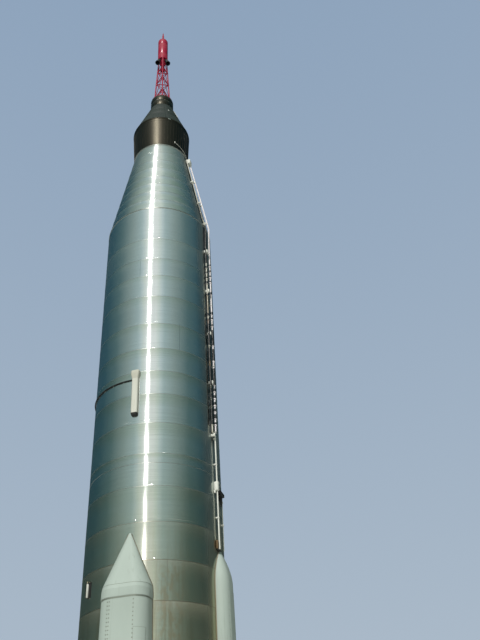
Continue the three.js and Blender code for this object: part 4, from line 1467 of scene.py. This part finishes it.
# Vernier engines: small swinging chambers under the pods, of the same brazed metal as the big
# ones. Each has a ball head on a pin, which turns in a painted bracket bolted to the skirt.
VERNIER_Z = station(1155)
VERNIER_OFFSET = 1.755
chamber = turned("vernier", [
    (0.0, -0.060), (0.055, -0.060), (0.059, -0.075), (0.060, -0.140), (0.048, -0.180),
    (0.034, -0.200), (0.048, -0.250), (0.072, -0.330), (0.090, -0.405), (0.095, -0.424),
    (0.095, -0.430), (0.085, -0.430), (0.060, -0.330), (0.036, -0.250), (0.024, -0.205),
    (0.0, -0.205),
], 48, (0.0, -VERNIER_OFFSET))
bpy.ops.object.select_all(action="DESELECT")
bpy.ops.mesh.primitive_uv_sphere_add(
    segments=32, ring_count=16, radius=0.085, location=(0, -VERNIER_OFFSET, 0), calc_uvs=False,
)
head = smooth(bpy.context.object)
pin = rod(Vector((0, -1.57, 0)), Vector((0, -1.76, 0)), 0.030, 32)
vernier = joined("vernier", [chamber, head, bevelled(pin, 0.003)])
for side, azimuth in (("right", 90), ("left", -90)):
    matrix = about_axis(azimuth) @ Matrix.Translation((0, 0, VERNIER_Z))
    piece = placed(vernier, f"vernier_chamber_{side}", matrix)
    fit(piece, engine_metal, f"{side}_vernier", [f"vernier_engine_{side}"])
    bracket = dressed(f"vernier_bracket_{side}", f"vernier_mount_{side}", 0.006)
    fit(bracket, pale_green, replaces=[f"vernier_bracket_{side}"])
bpy.data.objects.remove(vernier)

# Front fairing: a long narrow sheet cover over a line, cream-white, with a flared head that
# is dull and a dark rubber boot at its foot, screwed along both flanges.
paint = new_paint("cream_cover")
place = paint.place()
z = paint.split(place)[2]
grime = paint.noise(paint.stretched(place, (12.0, 12.0, 2.0)), 1.4, 4.0)
cover = paint.mix(grime, (0.70, 0.685, 0.62), (0.60, 0.585, 0.50))
cover = paint.mix(paint.step(z, station(874.6), station(873.2)), cover, (0.52, 0.50, 0.42))
cream_cover = paint.surface({
    "Base Color": paint.mix(z < station(910.2), cover, (0.020, 0.020, 0.018)),
    "Roughness": 0.45 + 0.2 * grime,
    "Normal": paint.bump(grime, 0.0012),
})
cover_rows = [
    # station, half width, stand-off, corner radius
    (913, 0.056, 0.045, 0.026), (912.2, 0.070, 0.064, 0.032), (911, 0.076, 0.073, 0.036),
    (910, 0.078, 0.075, 0.036), (874, 0.078, 0.075, 0.036), (869, 0.104, 0.095, 0.042),
    (866, 0.102, 0.093, 0.042), (865, 0.096, 0.080, 0.036),
]
cover_shell = off_tank(pad_loft("line_cover", cover_rows, THIN_BACK))
fit(bevelled(cover_shell, 0.004), cream_cover, replaces=["front_fairing"])
flanges = []
for side in (-1, 1):
    middle = Matrix.Translation((side * 0.089, -1.5228, station(889.5)))
    flanges.append(block("flange", (0.024, 0.006, station(869) - station(910)), middle))
fit(joined("cover_flanges", flanges), weld_steel)
places = [outward(side * 3.4, 1.5245, station(872 + 5 * i)) for i in range(8) for side in (-1, 1)]
fit(spread("cover_screws", bolt(0.012, 0.005), places), weld_steel)


# Hoop line: a thin black sheathed line round the tank from the cover's left side, held to the
# skin by small saddles.
def on_skin(azimuth, inches, off):
    """Point that stands off from the tank's skin."""
    return polar(azimuth, skin_radius(inches) + off, station(inches))


def hoop_station(azimuth):
    """The line climbs a little from the cover to the side."""
    return 874 - 2.8 * min(1.0, max(0.0, (-5.6 - azimuth) / 69.4))


hoop_turn = [-3.1] + [-5.6 - 2 * i for i in range(71)]
hoop_points = [on_skin(az, hoop_station(az), 0.018) for az in hoop_turn]
black_sheath = worn_finish(
    "black_sheath", ((9.0, 9.0, 9.0), 1.5, 3.0), (0.006, 0.006, 0.007), (0.014, 0.013, 0.012),
    0.62, 0.15, 0.0008,
)
sheathed = pipe("sheathed_line", hoop_points, 0.0145)
fit(sheathed, black_sheath, replaces=["hoop_line"])
saddles = []
for i in range(12):
    azimuth = -12 - 12 * i
    spot = outward(azimuth, 1.530, station(hoop_station(azimuth)))
    saddles.append(block("saddle", (0.020, 0.052, 0.006), spot))
fit(joined("line_saddles", saddles), weld_steel)

# Side fitting: a small black junction block on the skin ahead of the front nacelle, whose side
# toward the light is painted white as a painted highlight. It sits on a black sheet of painted
# shade and has a threaded stub on top.
white_paint = worn_finish(
    "white_paint", ((10.0, 10.0, 3.0), 1.5, 4.0), (0.86, 0.85, 0.79), (0.64, 0.63, 0.56),
    0.42, 0.2, 0.0015,
)
FITTING_AZIMUTH = -41
PAINTED_LIT_SIDE = 1


def skin_block(name, size, azimuth, inches, off, edge):
    """A block whose middle stands off from the barrel's skin."""
    return block(name, size, outward(azimuth, TANK_RADIUS + off, station(inches)), edge)


fitting = dressed("side_fitting", "junction_block", 0.008)
fit(fitting, sooty_black, replaces=["side_fitting"])
fitting.data.materials.append(white_paint)
# Painted highlight: the block's face toward lit_side gets white paint instead of black.
lit_side = polar(FITTING_AZIMUTH + 90, 1, 0)
for face in fitting.data.polygons:
    face.material_index = PAINTED_LIT_SIDE if face.normal.dot(lit_side) > 0.9 else 0
# Painted shade: a black sheet on the skin round the block stands for its shadow.
shade_sheet = skin_block("fitting_mat", (0.125, 0.31, 0.004), -38.5, 1056.5, 0.001, 0.001)
fit(shade_sheet, black_sheath)
stub_foot = polar(FITTING_AZIMUTH, TANK_RADIUS + 0.028, station(1051))
stub = rod(stub_foot, stub_foot + Vector((0, 0, 0.05)), 0.014, 16)
fit(smooth(stub), weld_steel)

# Conduits: two pipes down the right side, wrapped in white and black lagging, from a box at
# the forward ring to the fuel barrel, then one white pipe and a thin line to the pod's nose.
box_body = dressed("umbilical_box", "umbilical_case", 0.008)
fit(box_body, white_paint, replaces=["umbilical_box"])

# Dark lagging: forward and aft stations of each black wrap. The inner pipe also has grimy,
# beige and brown stretches, each with its own colour.
outer_wraps = [
    (702.5, 705.1), (710.8, 713.4), (719.1, 721.7), (726.8, 729.4), (743.4, 746.2),
    (770.3, 774.3), (777.8, 781.4), (787, 790), (794.5, 815), (819.2, 834.6), (843, 863),
    (867, 871.3), (874.8, 879.1), (883, 886.9), (890.5, 894.1), (896.8, 901.3), (905.9, 908.3),
]
inner_wraps = [
    (710.1, 713.4), (718.6, 721.2), (725.9, 729.2), (733.3, 736.6), (750.1, 752.7),
    (776.8, 780.5), (784.3, 786.2), (791.2, 818.8), (822.5, 837.6), (843.8, 867.6),
    (869.8, 874.4), (876.6, 881.2), (883.4, 890.2), (892.4, 910.3),
]
grimy_wraps = [
    (604, 638, (0.26, 0.25, 0.22)), (645, 705.7, (0.030, 0.028, 0.025)),
    (752.7, 776.8, (0.34, 0.30, 0.23)), (786.2, 791.2, (0.22, 0.17, 0.14)),
    (818.8, 822.5, (0.20, 0.20, 0.17)), (837.6, 843.8, (0.14, 0.10, 0.06)),
    (867.6, 869.8, (0.13, 0.14, 0.12)), (874.4, 876.6, (0.13, 0.14, 0.12)),
    (881.2, 883.4, (0.13, 0.14, 0.12)), (890.2, 892.4, (0.13, 0.14, 0.12)),
]

BLACK_WRAP = (0.010, 0.010, 0.010)


def lagging_finish(name, wraps, pale, grimy, worn):
    """Pale lagging with black wraps by height, and grimy ones with a colour of their own."""
    paint = new_paint(name)
    place = paint.place()
    z = paint.split(place)[2]
    top, foot = station(600), station(925)
    share = (z - foot) / (top - foot)

    def share_at(inches):
        return (station(inches) - foot) / (top - foot)

    rows = [(share_at(aft), share_at(forward), BLACK_WRAP) for forward, aft in wraps]
    rows += [(share_at(aft), share_at(forward), tone) for forward, aft, tone in grimy]
    rows.sort()
    half = len(rows) // 2
    banded = None
    for part in (rows[:half], rows[half:]):
        stops = [(0.0, pale)]
        for low, high, tone in part:
            if stops[-1][0] >= low - 1e-4:
                stops.pop()
            stops += [(low, tone), (high, pale)]
        ramp = paint.ramp(share, "steps", *stops)
        divide = part[0][0] - 0.002
        banded = paint.mix(share > divide, banded, ramp) if banded else ramp
    dirt = paint.noise(paint.stretched(place, (14.0, 14.0, 4.0)), 1.6, 4.0)
    stain = paint.stretched(banded, worn)
    return paint.surface({
        "Base Color": paint.mix(paint.step(dirt, 0.45, 0.75), banded, stain),
        "Roughness": 0.28 + 0.15 * dirt,
        "Normal": paint.bump(dirt, 0.0015),
    })


outer_lagging = lagging_finish(
    "outer_lagging", outer_wraps, (0.93, 0.86, 0.88), [], (0.74, 0.70, 0.67),
)
inner_lagging = lagging_finish(
    "inner_lagging", inner_wraps, (0.56, 0.54, 0.47), grimy_wraps, (0.72, 0.66, 0.58),
)


def route_azimuth(route, inches):
    """Azimuth of a pipe's route at a station."""
    rows = sorted(route)
    for (s0, a0), (s1, a1) in zip(rows, rows[1:]):
        if inches <= s1:
            return a0 + (a1 - a0) * (inches - s0) / (s1 - s0)
    return rows[-1][1]


def lagged_pipe(name, route, off, ahead, radius, swell, wraps, finish, node):
    """A pipe along a route of (station, azimuth), thicker where dark lagging is wrapped on."""
    start, end = route[0][0], route[-1][0]
    stations = {s for s, _ in route} | {start + (end - start) * i / 60 for i in range(61)}
    for forward, aft in wraps:
        stations.update((forward - 0.15, forward + 0.05, aft - 0.05, aft + 0.15))
    points = []
    for s in sorted(s for s in stations if start <= s <= end):
        dark = any(forward <= s <= aft for forward, aft in wraps)
        stout = ahead if s < CONE_STATION + 7 else radius
        spot = on_skin(route_azimuth(route, s), s, off)
        points.append((*spot, stout + (swell if dark else 0.0)))
    fit(pipe(name, points, radius, 16), finish, replaces=[node])


outer_route = [
    (515, 91), (600, 89), (640, 86.5), (652, 84.2), (675, 83.2), (830, 82.2), (916, 80.2),
]
inner_route = [
    (515, 75), (560, 75.6), (600, 74.6), (634, 74), (645, 77), (655, 76.8), (675, 75.8),
    (918, 75.2),
]
lower_route = [(919, 79.8), (1025.5, 79.8)]
thin_route = [(977, 93), (1023, 92)]
pipe_table = [
    # route, stand-off, radius on cone and barrel, swell and stations of wraps, finish, CAD node
    ("outer_pipe", outer_route, 0.066, 0.023, 0.018, 0.015, outer_wraps, outer_lagging, "outer"),
    ("inner_pipe", inner_route, 0.052, 0.015, 0.019, 0.012, inner_wraps, inner_lagging, "main"),
    ("lower_pipe", lower_route, 0.050, 0.017, 0.017, 0.0, [], white_paint, "lower"),
    ("thin_line", thin_route, 0.036, 0.010, 0.010, 0.0, [], white_paint, "thin"),
]
for *values, node in pipe_table:
    lagged_pipe(*values, f"conduit_{node}")


# Clamps: blocks that stand on the skin and grip the pipes, of dark steel on the outer pipe and
# painted white on the others, with a junction block and a connector at the lower end.
def skin_lean(inches):
    """How far the skin's normal is tipped up from level, in degrees."""
    rise = TANK_RADIUS - FORWARD_RADIUS
    run = station(RING_STATION) - station(CONE_STATION)
    return math.degrees(math.atan(rise / run)) if inches < CONE_STATION else 0.0


def clamp_at(inches, azimuth, off, wide, tall, thick):
    """A clamp block that stands on the skin and holds a pipe."""
    lean = skin_lean(inches)
    foot_at = outward(azimuth, skin_radius(inches) + off / 2, station(inches), lean)
    head_at = outward(azimuth, skin_radius(inches) + off, station(inches), lean)
    return [
        block("clamp_foot", (wide, tall * 0.8, off), foot_at, 0.003),
        block("clamp_head", (wide * 0.8, tall, thick), head_at, 0.008),
    ]


dark_clamps = []
for inches in (549, 595, 684, 760, 840, 915):
    dark_clamps += clamp_at(inches, route_azimuth(outer_route, inches), 0.066, 0.060, 0.030, 0.050)
fit(joined("outer_clamps", dark_clamps), weld_steel)
white_clamps = []
for inches, turn in ((560.5, 0), (601, 3.5), (640, 2.5)):
    azimuth = route_azimuth(inner_route, inches) + turn
    white_clamps += clamp_at(inches, azimuth, 0.062, 0.070, 0.060, 0.050)
barrel_clamps = [
    (686, 0.085, 0.110), (744.4, 0.070, 0.100), (802, 0.060, 0.090), (862, 0.065, 0.100),
    (919.5, 0.050, 0.080),
]
for inches, wide, tall in barrel_clamps:
    azimuth = route_azimuth(inner_route, min(inches, 916)) + 1.6
    white_clamps += clamp_at(inches, azimuth, 0.074, wide, tall, 0.044)
lower_clamps = [
    (922, 79.8, 0.050), (948, 79.8, 0.050), (998, 79.8, 0.050), (979, 92.9, 0.036),
    (1000, 92.5, 0.036),
]
for inches, azimuth, off in lower_clamps:
    white_clamps += clamp_at(inches, azimuth, off, 0.060, 0.034, 0.040)
blocks = [
    skin_block("junction", (0.080, 0.21, 0.092), 79.3, 969.2, 0.046, 0.010),
    skin_block("junction_stub", (0.040, 0.060, 0.040), 77.2, 975, 0.024, 0.006),
    skin_block("connector", (0.046, 0.18, 0.060), 80.3, 1021.8, 0.034, 0.010),
]
fit(joined("pipe_clamps", white_clamps + blocks), white_paint)

# Dark bracket under the junction: a folded plate across the two lines with a tongue that tapers
# downwards, and a rusty joint box at the pod's tip, held by a beige ring.
bracket = skin_block("bracket_plate", (0.36, 0.075, 0.07), 89, 972.2, 0.040, 0.008)
tongue = block("bracket_tongue", (0.085, 0.24, 0.06), Matrix.Identity(4), 0.006)
for vert in tongue.data.vertices:
    if vert.co.y < 0:
        vert.co.x *= 0.4
        vert.co.z *= 0.6
tongue.data.transform(outward(89, TANK_RADIUS + 0.036, station(979.5)))
fit(joined("dark_bracket", [bracket, tongue]), sooty_black)
rusty_metal = worn_finish(
    "rusty_metal", ((20.0, 20.0, 9.0), 1.5, 4.0), (0.075, 0.036, 0.014), (0.19, 0.13, 0.065),
    0.60, 0.2, 0.002,
)
joint = skin_block("tip_joint", (0.048, 0.18, 0.045), 77.8, 1021.8, 0.028, 0.008)
fit(joint, rusty_metal)
tip_ring = skin_block("tip_ring", (0.130, 0.026, 0.060), 80.5, 1026.2, 0.028, 0.006)
fit(tip_ring, cream_cover)

# Ring line: a thin white-painted steel line along the adapter's foot, a painted highlight that
# stands for the forward ring's sunlit lower edge. It runs down from a small fitting to the box.
HIGHLIGHT_LINE_POINTS = 17
highlight_line_spots = []
for i in range(HIGHLIGHT_LINE_POINTS):
    share = i / (HIGHLIGHT_LINE_POINTS - 1)
    radius = 0.9035 + 0.008 * (1 - share)
    highlight_line_spots.append(polar(49 + 38 * share, radius, TOP + 0.28 - 0.215 * share))
ring_fitting = block("ring_fitting", (0.035, 0.07, 0.016), outward(48.5, 0.905, TOP + 0.30), 0.004)
ring_parts = [pipe("ring_line", highlight_line_spots, 0.0055), ring_fitting]
fit(joined("ring_line", ring_parts), white_paint)
